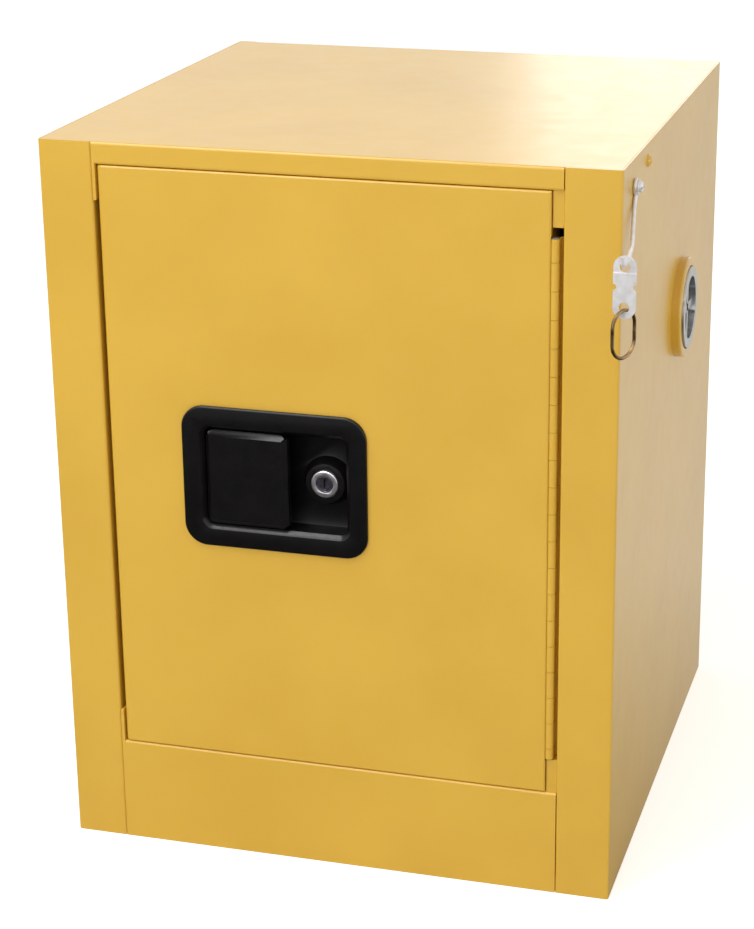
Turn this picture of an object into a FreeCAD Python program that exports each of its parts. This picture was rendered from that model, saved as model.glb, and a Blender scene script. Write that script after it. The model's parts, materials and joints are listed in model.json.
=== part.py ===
import FreeCAD, Part
import math
import os

os.makedirs("parts", exist_ok=True)

Vector = FreeCAD.Vector

# Countertop safety cabinet for flammable liquids: a double-walled steel box with one door.
# Millimetres. X to the right, Y to the back, Z up. The origin is under the middle of the base.

# Overall size and sheet
width = 430.0
depth = 430.0
height = 560.0
sheet = 1.2
bend_radius = 0.8
air_gap = 38.0
seam = 0.2

# Front frame
stile_width = 41.0
top_rail_height = 16.5
bottom_rail_height = 83.5
head_height = 43.0
sill_height = 110.0
pocket_depth = 6.0
return_depth = 36.0
lip_height = 10.0
rear_flange = 15.0
base_flange = 12.0
ear_setback = 2.5

# Door
door_left_gap = 3.2
door_right_gap = 8.8
door_line_gap = 0.5
door_thickness = 38.0
door_flange = 4.8
door_edge_radius = 4.5
door_small_radius = 1.6
pan_clearance = 3.0
ear_clearance = 0.8
stiffener_width = 24.0

# Hinge
barrel_radius = 3.3
barrel_setback = 0.2
barrel_clearance = 0.3
hinge_top_margin = 8.0
hinge_bottom_margin = 1.0
notch_margin = 1.6
notch_clearance = 0.35
skin_reach = 1.4
knuckle_offset = 16.2
knuckle_pitch = 20.7
knuckle_gap = 0.3
hinge_leaf = 1.0
pin_radius = 1.5
running_clearance = 0.05
pin_head_radius = 2.6
pin_head_height = 1.0
door_leaf_depth = 22.0
frame_leaf_depth = 24.0
leaf_window_clearance = 0.5

# Liner, sump and shelf
sump_depth = 50.0
liner_flange = 12.0
liner_overlap = 20.0
bearer_place = 95.0
bearer_width = 36.0
rest_gap = 0.3
shelf_height = 309.0
shelf_side_clearance = 3.0
shelf_front_gap = 18.0
shelf_rear_gap = 12.0
shelf_lip = 22.0
shelf_hole_radius = 5.0
shelf_holes = 5
clip_length = 26.0
clip_reach = 13.0
clip_width = 18.0
clip_tab = 7.0
clip_setback = 50.0

# Latch pan
pan_x0 = -112.5
pan_z0 = 257.0
pan_width = 143.0
pan_height = 110.0
pan_corner = 17.5
pan_overlap = 12.0
pan_flange_thickness = 2.5
pan_wall = 2.0
recess_left_margin = 17.3
recess_right_margin = 16.0
recess_top_margin = 17.4
recess_bottom_margin = 17.0
recess_depth = 20.0
recess_corner = 6.0
recess_lip = 3.3
boss_radius = 15.0
boss_height = 9.0
boss_foot_radius = 19.0
stud_radius = 2.0
stud_length = 12.0
stud_inset = 7.5
stud_clearance = 0.3

# Paddle
paddle_width = 63.8
paddle_side_gap = 0.9
paddle_lower_gap = 0.9
paddle_height = 73.8
paddle_thickness = 5.0
paddle_proud = 1.0
paddle_corner = 7.0
paddle_slope_depth = 4.0
paddle_slope_top = 4.2
paddle_slope_bottom = 3.4
paddle_slope_left = 5.6
paddle_slope_right = 7.0
paddle_pivot_inset = 7.3
paddle_pin_radius = 1.5
paddle_pin_depth = 6.5
paddle_lug_radius = 3.4
lug_margin = 9.0
lug_height = 4.0
lug_clearance = 0.4
arm_length = 26.5
arm_thickness = 4.0
arm_height = 6.0
arm_lean = 14.0

# Bolt
bolt_rest_gap = 3.0
bolt_height = 14.0
bolt_thickness = 8.0
bolt_depth = 28.0
bolt_bar_end = 12.0
bolt_window = 7.0
tail_radius = 2.6
tail_length = 55.0
slide_clearance = 0.4
strike_clearance = 1.0
strike_margin = 3.0
strike_cup_depth = 10.0
guide_length = 12.0
guide_wall = 1.5
guide_foot = 9.0
case_reach = 21.0
spring_wire = 1.0
spring_clearance = 0.35
spring_coils = 8
spring_length = 28.0

# Lock
lock_ring_radius = 10.6
lock_barrel_radius = 8.4
lock_plug_radius = 6.2
lock_proud = 2.0
lock_inset = 19.2
lock_drop = 2.3
keyway_width = 1.6
keyway_height = 8.0
keyway_depth = 3.0
lock_nut_width = 22.0
lock_nut_thickness = 3.0
lock_tail = 3.0
cam_length = 19.5
cam_width = 9.0
cam_thickness = 2.0

# Vents
vent_setback = 177.0
right_vent_height = 394.0
left_vent_height = 150.0
collar_radius = 40.0
collar_height = 7.5
duct_outer_radius = 31.0
duct_bore_radius = 28.8
plug_rim_radius = 32.6
plug_rim_thickness = 4.0
counterbore_depth = 4.0
counterbore_clearance = 0.8
plug_body_length = 14.0
plug_recess_radius = 25.0
plug_recess_depth = 12.0
plug_bar_width = 6.0
plug_bar_drop = 2.5
gasket_thickness = 1.5
gasket_inner_radius = 29.2
screen_thickness = 1.0
screen_pitch = 7.0
screen_hole = 5.2

# Hanging link on the right side
arm_wire_radius = 1.5
arm_eye_radius = 4.6
arm_anchor_setback = 40.0
arm_anchor_drop = 20.0
link_offset = 5.0
link_reach = 15.0
link_hole_drop = 63.0
link_hole_spacing = 28.5
link_hole_radius = 3.75
link_end_radius = 8.0
link_sheet = 0.8
link_overlap = 10.0
link_notch_radius = 2.4
hang_clearance = 0.3
ring_clearance = 0.6
ring_wire_radius = 1.3
ring_end_radius = 11.5
ring_straight = 11.0
ring_yaw = 60.0
anchor_head_radius = 4.0
anchor_head_height = 2.6
anchor_shank_radius = 2.4

# Side dome and earth stud
dome_radius = 5.0
dome_height = 3.2
dome_shank_radius = 2.0
dome_setback = 93.0
dome_drop = 13.0
earth_radius = 3.0
earth_neck_radius = 2.4
earth_neck_margin = 0.2
earth_length = 16.0
earth_height = 60.0
earth_inset = 45.0
earth_nut_width = 10.0
earth_nut_thickness = 4.0
earth_washer_radius = 6.0
earth_washer_thickness = 1.2

# Places worked out from the sizes above
front = -depth / 2
back = depth / 2
side = width / 2
stile_inner = side - stile_width
head = height - head_height
sump_floor = sill_height - sump_depth
liner_side = stile_inner + sheet
liner_back = back - air_gap
ceiling = head
door_left = -stile_inner + door_left_gap
door_right = stile_inner - door_right_gap
door_top = height - top_rail_height - door_line_gap
door_bottom = bottom_rail_height + door_line_gap
door_back = front + door_thickness
pocket_face = front + pocket_depth
hinge_y = front + barrel_setback + barrel_radius
door_wall = door_right - sheet
hinge_x = door_wall + barrel_clearance + barrel_radius
hinge_top = head - hinge_top_margin
hinge_bottom = sill_height + hinge_bottom_margin
inner_pan_top = head - pan_clearance
inner_pan_bottom = sill_height + pan_clearance
pan_right = pan_x0 + pan_width
pan_face = front - pan_flange_thickness
recess_x0 = pan_x0 + recess_left_margin
recess_x1 = pan_right - recess_right_margin
recess_z0 = pan_z0 + recess_bottom_margin
recess_z1 = pan_z0 + pan_height - recess_top_margin
recess_floor = pan_face + recess_depth
paddle_x0 = recess_x0 + paddle_side_gap
paddle_face = pan_face - paddle_proud
pivot_x = paddle_x0 + paddle_pivot_inset
pivot_y = paddle_face + paddle_pin_depth
latch_z = pan_z0 + pan_height / 2 + 1.0
bolt_y = front + bolt_depth
lock_x = recess_x1 - lock_inset
lock_z = latch_z - lock_drop
boss_face = recess_floor - boss_height
link_hole_height = height - link_hole_drop


def vec(x, y, z):
    """Point or direction."""
    return Vector(x, y, z)


def box(x0, x1, y0, y1, z0, z1):
    """Block between two corners, given in any order."""
    low = Vector(min(x0, x1), min(y0, y1), min(z0, z1))
    return Part.makeBox(abs(x1 - x0), abs(y1 - y0), abs(z1 - z0), low)


def rod(start, direction, radius, length):
    """Round bar from a point along a direction."""
    return Part.makeCylinder(radius, length, start, direction)


def line_meet(point_a, along_a, point_b, along_b):
    """Point where two lines in one plane cross."""
    cross = along_a.cross(along_b)
    gap = (point_b - point_a).cross(along_b)
    return point_a + along_a * (gap.dot(cross) / cross.dot(cross))


def filleted_edges(points, radii):
    """Straight runs joined by tangent arcs, one arc at each inner point."""
    edges = []
    start = points[0]
    for index in range(1, len(points) - 1):
        corner = points[index]
        toward = (points[index - 1] - corner).normalize()
        away = (points[index + 1] - corner).normalize()
        half = toward.getAngle(away) / 2
        run = radii[index - 1] / math.tan(half)
        first = corner + toward * run
        last = corner + away * run
        bisector = (toward + away).normalize()
        middle = corner + bisector * (radii[index - 1] / math.sin(half) - radii[index - 1])
        if (first - start).Length > 1e-6:
            edges.append(Part.LineSegment(start, first).toShape())
        edges.append(Part.Arc(first, middle, last).toShape())
        start = last
    edges.append(Part.LineSegment(start, points[-1]).toShape())
    return edges


def bent_sheet(points, normal, length, thickness=sheet, radius=bend_radius):
    """Folded sheet: the outline runs through points, and the sheet lies on its left."""
    along = [(b - a).normalize() for a, b in zip(points, points[1:])]
    left = [normal.cross(direction) for direction in along]
    inner = [points[0] + left[0] * thickness]
    near_radii = []
    far_radii = []
    for index in range(1, len(along)):
        inner.append(line_meet(points[index] + left[index - 1] * thickness, along[index - 1],
                               points[index] + left[index] * thickness, along[index]))
        folds_left = along[index - 1].cross(along[index]).dot(normal) > 0
        near_radii.append(radius + thickness if folds_left else radius)
        far_radii.append(radius if folds_left else radius + thickness)
    inner.append(points[-1] + left[-1] * thickness)
    edges = filleted_edges(points, near_radii)
    edges.append(Part.LineSegment(points[-1], inner[-1]).toShape())
    edges += filleted_edges(inner[::-1], far_radii[::-1])
    edges.append(Part.LineSegment(inner[0], points[0]).toShape())
    face = Part.Face(Part.Wire(Part.__sortEdges__(edges)))
    return face.extrude(normal * length)


def rounded_block(x0, x1, y0, y1, z0, z1, radius):
    """Block with its four edges along Y rounded."""
    solid = box(x0, x1, y0, y1, z0, z1)
    edges = [e for e in solid.Edges if abs(e.tangentAt(e.FirstParameter).y) > 0.99]
    return solid.makeFillet(radius, edges)


def fillet_where(solid, radius, test):
    """Round the edges whose middle point passes a test."""
    edges = [e for e in solid.Edges if test(e.CenterOfMass)]
    return solid.makeFillet(radius, edges) if edges else solid


def chamfer_where(solid, size, test):
    """Bevel the edges whose middle point passes a test."""
    edges = [e for e in solid.Edges if test(e.CenterOfMass)]
    return solid.makeChamfer(size, edges) if edges else solid


def mirror_x(shape):
    """Copy on the other side of the middle plane."""
    return shape.mirror(vec(0, 0, 0), vec(1, 0, 0))


def tube(start, direction, outer, inner, length):
    """Round tube."""
    return rod(start, direction, outer, length).cut(rod(start, direction, inner, length))


def hexagon(centre, direction, across, thickness, turn=0.0):
    """Six-sided block, its flats the given distance apart."""
    reach = across / math.sqrt(3)
    points = []
    for step in range(7):
        angle = math.radians(60 * step + turn)
        points.append(vec(reach * math.cos(angle), reach * math.sin(angle), 0))
    solid = Part.Face(Part.makePolygon(points)).extrude(vec(0, 0, thickness))
    solid.Placement = FreeCAD.Placement(centre, FreeCAD.Rotation(vec(0, 0, 1), direction))
    return solid


def helix_edges(radius, pitch, turns):
    """Rising coil as tangent arcs, two to each quarter turn."""
    rise = pitch / (2 * math.pi)
    points = []
    tangents = []
    for step in range(turns * 4 + 1):
        angle = step * math.pi / 2
        points.append(vec(radius * math.cos(angle), radius * math.sin(angle), rise * angle))
        tangents.append(vec(-radius * math.sin(angle), radius * math.cos(angle), rise).normalize())
    edges = []
    for start, end, leave, arrive in zip(points, points[1:], tangents, tangents[1:]):
        chord = end - start
        both = leave + arrive
        a = both.dot(both) - 4
        b = -2 * chord.dot(both)
        run = (-b - math.sqrt(b * b - 4 * a * chord.dot(chord))) / (2 * a)
        joint = (start + end + (leave - arrive) * run) * 0.5
        edges.append(tangent_arc(start, start + leave * run, joint))
        edges.append(tangent_arc(joint, end - arrive * run, end))
    return edges


def tangent_arc(start, corner, end):
    """Arc between two points whose tangents meet at a corner."""
    toward = (start - corner).normalize()
    away = (end - corner).normalize()
    half = toward.getAngle(away) / 2
    radius = (start - corner).Length * math.tan(half)
    middle = corner + (toward + away).normalize() * (radius / math.sin(half) - radius)
    return Part.Arc(start, middle, end).toShape()


def wire_pipe(edges, radius):
    """Round wire swept along a path."""
    path = Part.Wire(edges)
    start = edges[0].valueAt(edges[0].FirstParameter)
    direction = edges[0].tangentAt(edges[0].FirstParameter)
    ring = Part.Wire([Part.makeCircle(radius, start, direction)])
    return path.makePipeShell([ring], True, False)


def save(name, shape):
    """Write one sub-part."""
    shape = shape.removeSplitter()
    shape.exportStep("parts/" + name + ".step")


def vent_cut(height_up):
    """Hole through the right side's walls for a vent duct."""
    start = vec(liner_side - sheet, back - vent_setback, height_up)
    return rod(start, vec(1, 0, 0), duct_outer_radius, side - liner_side + 2 * sheet)


def side_panel(vent_height):
    """Outer side: return flange, front stile, side and rear flange."""
    points = [
        vec(stile_inner, front + return_depth, 0),
        vec(stile_inner, front, 0),
        vec(side, front, 0),
        vec(side, back, 0),
        vec(side - rear_flange, back, 0),
    ]
    panel = bent_sheet(points, vec(0, 0, 1), height)
    room = (stile_inner - 1, side - sheet - seam, front + sheet + seam, back - sheet - seam)
    panel = panel.cut(box(*room, -1, base_flange + seam))
    panel = panel.cut(box(*room, height - sheet - seam, height + 1))
    return panel.cut(vent_cut(vent_height))


def outer_right_side():
    """Right side panel with the holes for the arm's screw and the domed bolt."""
    panel = side_panel(right_vent_height)
    anchor = anchor_place() - vec(2 * sheet, 0, 0)
    dome = vec(side - 2 * sheet, front + dome_setback, height - dome_drop)
    panel = panel.cut(rod(anchor, vec(1, 0, 0), anchor_shank_radius, 3 * sheet))
    return panel.cut(rod(dome, vec(1, 0, 0), dome_shank_radius, 3 * sheet))


def strike_window(margin):
    """Room that the bolt's nose needs where it enters the left stile."""
    return box(-stile_inner - 2 * sheet - strike_cup_depth, -stile_inner + sheet,
               bolt_y - bolt_thickness / 2 - margin, bolt_y + bolt_thickness / 2 + margin,
               latch_z - bolt_height / 2 - margin, latch_z + bolt_height / 2 + margin)


def outer_top():
    """Top panel folded down into the front rail, with the pocket and lip for the door."""
    inner_side = side - sheet - seam
    points = [
        vec(-inner_side, back, height - rear_flange),
        vec(-inner_side, back, height),
        vec(-inner_side, front, height),
        vec(-inner_side, front, height - top_rail_height),
        vec(-inner_side, pocket_face, height - top_rail_height),
        vec(-inner_side, pocket_face, head),
        vec(-inner_side, front + return_depth, head),
    ]
    panel = bent_sheet(points, vec(1, 0, 0), 2 * inner_side)
    rail_end = stile_inner - seam
    for sign in (-1, 1):
        below = box(sign * rail_end, sign * side, front - 1, front + return_depth + 1, 0, height - sheet * 1.5)
        beside = box(sign * rail_end, sign * side, front - 1, front + sheet + seam, 0, height + 1)
        behind = box(sign * (side - rear_flange - seam), sign * side, back - sheet - seam, back + 1, 0, height + 1)
        panel = panel.cut(below).cut(beside).cut(behind)
    return panel.fuse(ears(head, height - top_rail_height + bend_radius + sheet, head))


def ears(z0, z1, cap_z):
    """Strips beside the door's corners, each a boxed end of the rail's pocket with a cap on the opening's side.

    The right ones stand back so that the door's edge can turn past them.
    """
    rail_end = stile_inner - seam
    pieces = []
    places = (
        (-rail_end, door_left - ear_clearance, -sheet, front),
        (rail_end, door_right + ear_clearance, sheet, front + ear_setback),
    )
    for outer_x, inner_x, wall, face in places:
        pieces.append(box(outer_x, inner_x, face, face + sheet, z0, z1))
        pieces.append(box(inner_x, inner_x + wall, face, pocket_face + sheet, z0, z1))
        pieces.append(box(outer_x, inner_x, face, pocket_face + sheet, cap_z, cap_z + sheet))
    return pieces


def bottom_rail():
    """Front rail under the door, with its pocket, sill and inner lip."""
    rail_end = stile_inner - seam
    points = [
        vec(rail_end, front, 0),
        vec(rail_end, front, bottom_rail_height),
        vec(rail_end, pocket_face, bottom_rail_height),
        vec(rail_end, pocket_face, sill_height),
        vec(rail_end, front + return_depth, sill_height),
        vec(rail_end, front + return_depth, sill_height - lip_height),
    ]
    rail = bent_sheet(points, vec(-1, 0, 0), 2 * rail_end)
    return rail.fuse(ears(bottom_rail_height - bend_radius - sheet, sill_height, sill_height - sheet))


def outer_back():
    """Flat back panel held inside the side panels' rear flanges."""
    reach = side - 2 * sheet
    top = height - 2 * sheet
    panel = box(-reach, reach, back - 2 * sheet - seam, back - sheet - seam, sheet, top)
    return panel.cut(rod(earth_place() - vec(0, 3 * sheet, 0), vec(0, 1, 0), earth_radius, 6 * sheet))


def open_pan(x0, x1, y0, y1, z0, wall_height, corner):
    """Pressed pan with rounded corners and an open top."""
    outer = box(x0, x1, y0, y1, z0, z0 + wall_height)
    inner = box(x0 + sheet, x1 - sheet, y0 + sheet, y1 - sheet, z0 + sheet, z0 + wall_height)
    upright = [e for e in outer.Edges if abs(e.tangentAt(e.FirstParameter).z) > 0.99]
    outer = outer.makeFillet(corner + sheet, upright)
    outer = fillet_where(outer, bend_radius + sheet, lambda c: c.z < z0 + 0.01)
    upright = [e for e in inner.Edges if abs(e.tangentAt(e.FirstParameter).z) > 0.99]
    inner = inner.makeFillet(corner, upright)
    inner = fillet_where(inner, bend_radius, lambda c: c.z < z0 + sheet + 0.01)
    return outer.cut(inner)


def outer_base():
    """Bottom panel with an upturned flange all round."""
    reach = side - sheet - seam
    rear = back - 2 * sheet - 2 * seam
    return open_pan(-reach, reach, front + sheet + seam, rear, 0, base_flange, bend_radius)


def liner_wall(vent_height):
    """Inner side wall with a rear flange turned outward."""
    bottom = sump_floor
    points = [
        vec(liner_side, front + return_depth - liner_overlap, bottom),
        vec(liner_side, liner_back, bottom),
        vec(liner_side + liner_flange, liner_back, bottom),
    ]
    wall = bent_sheet(points[::-1], vec(0, 0, 1), ceiling + liner_flange - bottom)
    return wall.cut(vent_cut(vent_height))


def liner_top():
    """Inner ceiling, its side edges turned up against the liner walls."""
    reach = liner_side - seam
    end = liner_back - seam
    points = [
        vec(-reach, end, ceiling + liner_flange),
        vec(-reach, end, ceiling),
        vec(reach, end, ceiling),
        vec(reach, end, ceiling + liner_flange),
    ]
    return bent_sheet(points, vec(0, -1, 0), end - front - return_depth - seam)


def liner_rear():
    """Inner back wall."""
    reach = liner_side + liner_flange
    return box(-reach, reach, liner_back, liner_back + sheet, sump_floor, ceiling + liner_flange)


def sump_tray():
    """Leak-tight tray that forms the cabinet's floor behind the sill."""
    reach = liner_side - seam
    return open_pan(-reach, reach, front + return_depth, liner_back - seam, sump_floor,
                    sump_depth - sheet - seam, 4.0)


def shelf():
    """Lift-out shelf pan with turned-down edges and drain holes at the rear."""
    reach = liner_side - shelf_side_clearance
    y0 = door_back + shelf_front_gap
    y1 = liner_back - shelf_rear_gap
    pan = open_pan(-reach, reach, y0, y1, 0, shelf_lip, 3.0)
    pan = pan.mirror(vec(0, 0, 0), vec(0, 0, 1))
    pan.translate(vec(0, 0, shelf_height + sheet))
    step = 2 * reach / (shelf_holes + 1)
    for index in range(shelf_holes):
        centre = vec(-reach + step * (index + 1), y1 - 20.0, shelf_height - 1)
        pan = pan.cut(rod(centre, vec(0, 0, 1), shelf_hole_radius, 2 * sheet + 1))
    return pan


def shelf_clips():
    """Four brackets on the side walls that the shelf's edges rest on, with a tab behind the edge."""
    clips = []
    rest = shelf_height + sheet - shelf_lip - rest_gap
    for y in (door_back + shelf_front_gap + clip_setback, liner_back - shelf_rear_gap - clip_setback):
        start = y + clip_width / 2
        points = [
            vec(liner_side, start, rest - clip_length),
            vec(liner_side, start, rest),
            vec(liner_side - clip_reach, start, rest),
            vec(liner_side - clip_reach, start, rest + clip_tab),
        ]
        clip = bent_sheet(points, vec(0, -1, 0), clip_width)
        clips.append(clip)
        clips.append(mirror_x(clip))
    return Part.makeCompound(clips)


def floor_bearers():
    """Two hat channels that carry the sump tray above the base."""
    reach = liner_side - seam
    top = sump_floor - sheet
    bearers = []
    for y in (-bearer_place, bearer_place):
        points = [
            vec(-reach, y - bearer_width, sheet),
            vec(-reach, y - bearer_width / 2, sheet),
            vec(-reach, y - bearer_width / 2, top),
            vec(-reach, y + bearer_width / 2, top),
            vec(-reach, y + bearer_width / 2, sheet),
            vec(-reach, y + bearer_width, sheet),
        ]
        bearers.append(bent_sheet(points, vec(1, 0, 0), 2 * reach))
    return Part.makeCompound(bearers)


def door_skin():
    """Front sheet of the door, its edges turned back, with the latch and hinge cut-outs."""
    outer = box(door_left, door_right, front, front + door_flange, door_bottom, door_top)
    left_edge = [e for e in outer.Edges if abs(e.CenterOfMass.x - door_left) < 0.01
                 and abs(e.CenterOfMass.y - front) < 0.01]
    outer = outer.makeFillet(door_edge_radius, left_edge)
    others = [e for e in outer.Edges if abs(e.CenterOfMass.y - front) < 0.01
              and (abs(e.CenterOfMass.z - door_top) < 0.01 or abs(e.CenterOfMass.z - door_bottom) < 0.01
                   or abs(e.CenterOfMass.x - door_right) < 0.01)]
    outer = outer.makeFillet(door_small_radius, others)
    inner = box(door_left + sheet, door_right - sheet, front + sheet, front + door_flange + 1,
                door_bottom + sheet, door_top - sheet)
    left_edge = [e for e in inner.Edges if abs(e.CenterOfMass.x - door_left - sheet) < 0.01
                 and abs(e.CenterOfMass.y - front - sheet) < 0.01]
    inner = inner.makeFillet(door_edge_radius - sheet, left_edge)
    skin = outer.cut(inner)
    low = hinge_bottom - notch_margin
    high = hinge_top + notch_margin
    notch = box(door_wall + skin_reach, door_right + 1, front - 1, front + door_flange + 1, low, high)
    flange = box(door_wall, door_right + 1, front + sheet, front + door_flange + 1, low, high)
    around = rod(vec(hinge_x, hinge_y, low), vec(0, 0, 1), barrel_radius + notch_clearance, high - low)
    skin = skin.cut(notch).cut(flange).cut(around).cut(latch_opening())
    for x, z in stud_places():
        skin = skin.cut(rod(vec(x, front - 1, z), vec(0, 1, 0), stud_radius + stud_clearance, sheet + 2))
    return skin


def latch_opening():
    """Hole in the door's front sheet for the latch pan."""
    margin = pan_overlap
    return rounded_block(pan_x0 + margin, pan_right - margin, front - 1, front + sheet + 0.1,
                         pan_z0 + margin, pan_z0 + pan_height - margin, pan_corner - margin)


def door_inner_pan():
    """Deep inner pan that makes the door's second wall."""
    x0 = door_left + sheet
    x1 = door_wall
    outer = box(x0, x1, front + sheet, door_back, inner_pan_bottom, inner_pan_top)
    rear = [e for e in outer.Edges if abs(e.CenterOfMass.y - door_back) < 0.01]
    outer = outer.makeFillet(door_small_radius, rear)
    inner = box(x0 + sheet, x1 - sheet, front + sheet - 1, door_back - sheet,
                inner_pan_bottom + sheet, inner_pan_top - sheet)
    rear = [e for e in inner.Edges if abs(e.CenterOfMass.y - door_back + sheet) < 0.01]
    inner = inner.makeFillet(door_small_radius - sheet, rear)
    pan = outer.cut(inner).cut(bolt_room(x0 - 1, x0 + 2 * sheet))
    return pan.cut(box(x0 - 1, x0 + sheet, front, front + door_edge_radius, 0, height))


def bolt_room(x0, x1):
    """Space that the sliding bar needs between two places along it."""
    return box(x0, x1, bolt_y - bolt_thickness / 2 - slide_clearance, bolt_y + bolt_thickness / 2 + slide_clearance,
               latch_z - bolt_height / 2 - slide_clearance, latch_z + bolt_height / 2 + slide_clearance)


def door_stiffener(z_centre):
    """Hat-section rail welded across the inside of the door."""
    x0 = door_left + door_edge_radius
    x1 = door_wall - sheet * 3
    top = door_back - sheet * 2
    half = stiffener_width / 2
    points = [
        vec(x1, front + sheet, z_centre - stiffener_width),
        vec(x1, front + sheet, z_centre - half),
        vec(x1, top, z_centre - half),
        vec(x1, top, z_centre + half),
        vec(x1, front + sheet, z_centre + half),
        vec(x1, front + sheet, z_centre + stiffener_width),
    ]
    return bent_sheet(points, vec(-1, 0, 0), x1 - x0)


def knuckle_spans(owner):
    """Heights between which one leaf's knuckles lie, cut from a long strip at its ends."""
    spans = []
    last = math.ceil(hinge_top / knuckle_pitch)
    for index in range(last):
        low = max(knuckle_offset + index * knuckle_pitch, hinge_bottom)
        high = min(knuckle_offset + (index + 1) * knuckle_pitch, hinge_top)
        if high - low > knuckle_gap * 4 and index % 2 == owner:
            spans.append((low + knuckle_gap / 2, high - knuckle_gap / 2))
    return spans


def knuckles(owner, bore):
    """Rolled tubes round the hinge pin."""
    shapes = []
    for low, high in knuckle_spans(owner):
        shapes.append(tube(vec(hinge_x, hinge_y, low), vec(0, 0, 1), barrel_radius, bore, high - low))
    return shapes


def leaf_windows(owner):
    """Room in one leaf for the other leaf's knuckles."""
    shapes = []
    reach = barrel_radius + leaf_window_clearance
    for low, high in knuckle_spans(1 - owner):
        shapes.append(box(hinge_x - reach - 2, hinge_x + reach, hinge_y - reach, hinge_y + reach,
                          low - knuckle_gap, high + knuckle_gap))
    return shapes


def hinge_door_leaf():
    """Door leaf of the piano hinge with its knuckles."""
    leaf = box(door_wall, door_wall + hinge_leaf, hinge_y, hinge_y + door_leaf_depth, hinge_bottom, hinge_top)
    leaf = leaf.cut(rod(vec(hinge_x, hinge_y, 0), vec(0, 0, 1), barrel_radius - hinge_leaf / 2, height))
    for window in leaf_windows(1):
        leaf = leaf.cut(window)
    return leaf.fuse(knuckles(1, pin_radius + running_clearance))


def hinge_frame_leaf():
    """Frame leaf, cranked over to the stile's return flange."""
    near = hinge_x + barrel_radius
    points = [
        vec(near, hinge_y, hinge_bottom),
        vec(near, hinge_y + barrel_radius + 1.5, hinge_bottom),
        vec(stile_inner, hinge_y + barrel_radius + 6.5, hinge_bottom),
        vec(stile_inner, hinge_y + frame_leaf_depth, hinge_bottom),
    ]
    leaf = bent_sheet(points, vec(0, 0, 1), hinge_top - hinge_bottom, thickness=hinge_leaf)
    leaf = leaf.cut(rod(vec(hinge_x, hinge_y, 0), vec(0, 0, 1), barrel_radius - hinge_leaf / 2, height))
    for window in leaf_windows(0):
        leaf = leaf.cut(window)
    return leaf.fuse(knuckles(0, pin_radius))


def hinge_pin():
    """Steel pin through all the knuckles, with a spun head at each end."""
    pin = rod(vec(hinge_x, hinge_y, hinge_bottom), vec(0, 0, 1), pin_radius, hinge_top - hinge_bottom)
    top = rod(vec(hinge_x, hinge_y, hinge_top), vec(0, 0, 1), pin_head_radius, pin_head_height)
    bottom = rod(vec(hinge_x, hinge_y, hinge_bottom), vec(0, 0, -1), pin_head_radius, pin_head_height / 2)
    return pin.fuse(top).fuse(bottom)


def strike_plate():
    """Plate on the stile's return flange with a cup behind the bolt's hole."""
    window = strike_window(strike_clearance)
    bounds = window.BoundBox
    plate = box(-stile_inner, -stile_inner + sheet, bounds.YMin - strike_margin, bounds.YMax + strike_margin,
                bounds.ZMin - 4 * strike_margin, bounds.ZMax + 4 * strike_margin)
    wall = sheet / 2
    inner = box(bounds.XMin + wall, bounds.XMax + 1, bounds.YMin + wall, bounds.YMax - wall,
                bounds.ZMin + wall, bounds.ZMax - wall)
    return plate.fuse(window).cut(inner)


def latch_pan():
    """Moulded pan: flange on the door, recess for the fingers, lock boss and clamping studs."""
    z1 = pan_z0 + pan_height
    flange = rounded_block(pan_x0, pan_right, pan_face, front, pan_z0, z1, pan_corner)
    flange = fillet_where(flange, 1.4, lambda c: c.y < pan_face + 0.01)
    back_wall = recess_floor + pan_wall
    shell = rounded_block(recess_x0 - pan_wall, recess_x1 + pan_wall, front, back_wall,
                          recess_z0 - pan_wall, recess_z1 + pan_wall, recess_corner + pan_wall)
    body = flange.fuse(shell)
    hollow = rounded_block(recess_x0, recess_x1, pan_face - 1, recess_floor, recess_z0, recess_z1, recess_corner)
    hollow = fillet_where(hollow, 2.0, lambda c: c.y > recess_floor - 0.01)
    body = body.cut(hollow)
    body = chamfer_where(body, recess_lip, lambda c: c.y < pan_face + 0.01 and pan_x0 + pan_overlap < c.x
                         < pan_right - pan_overlap and recess_z0 - 1 < c.z < recess_z1 + 1)
    lock_centre = vec(lock_x, boss_face, lock_z)
    boss = Part.makeCone(boss_radius, boss_foot_radius, boss_height, lock_centre, vec(0, 1, 0))
    room = box(recess_x0, recess_x1 + pan_wall / 2, pan_face, recess_floor + pan_wall / 2, recess_z0, recess_z1)
    body = body.fuse(boss.common(room))
    body = body.cut(rod(lock_centre - vec(0, 1, 0), vec(0, 1, 0), lock_barrel_radius, recess_depth + 5))
    slot_reach = arm_thickness / 2 + 5.0
    slot = box(pivot_x - slot_reach, pivot_x + slot_reach, recess_floor - 1, back_wall + 1,
               latch_z - arm_height / 2 - 1, latch_z + arm_height / 2 + 1)
    body = body.cut(slot)
    for lug_z in pin_lug_heights():
        body = body.fuse(box(pivot_x - 3, pivot_x + 3, pivot_y - 2.5, recess_floor, lug_z, lug_z + lug_height))
    body = body.cut(rod(vec(pivot_x, pivot_y, recess_z0 + 1), vec(0, 0, 1), paddle_pin_radius,
                        recess_z1 - recess_z0 - 2))
    for x, z in stud_places():
        body = body.fuse(rod(vec(x, front, z), vec(0, 1, 0), stud_radius, stud_length))
    return body


def pin_lug_heights():
    """Lower face of each lug that holds the paddle's pin."""
    return (recess_z0 + lug_margin, recess_z1 - lug_margin - lug_height)


def stud_places():
    """Corners of the latch pan where its clamping studs stand."""
    z1 = pan_z0 + pan_height
    return [(x, z) for x in (pan_x0 + stud_inset, pan_right - stud_inset)
            for z in (pan_z0 + stud_inset, z1 - stud_inset)]


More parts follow.
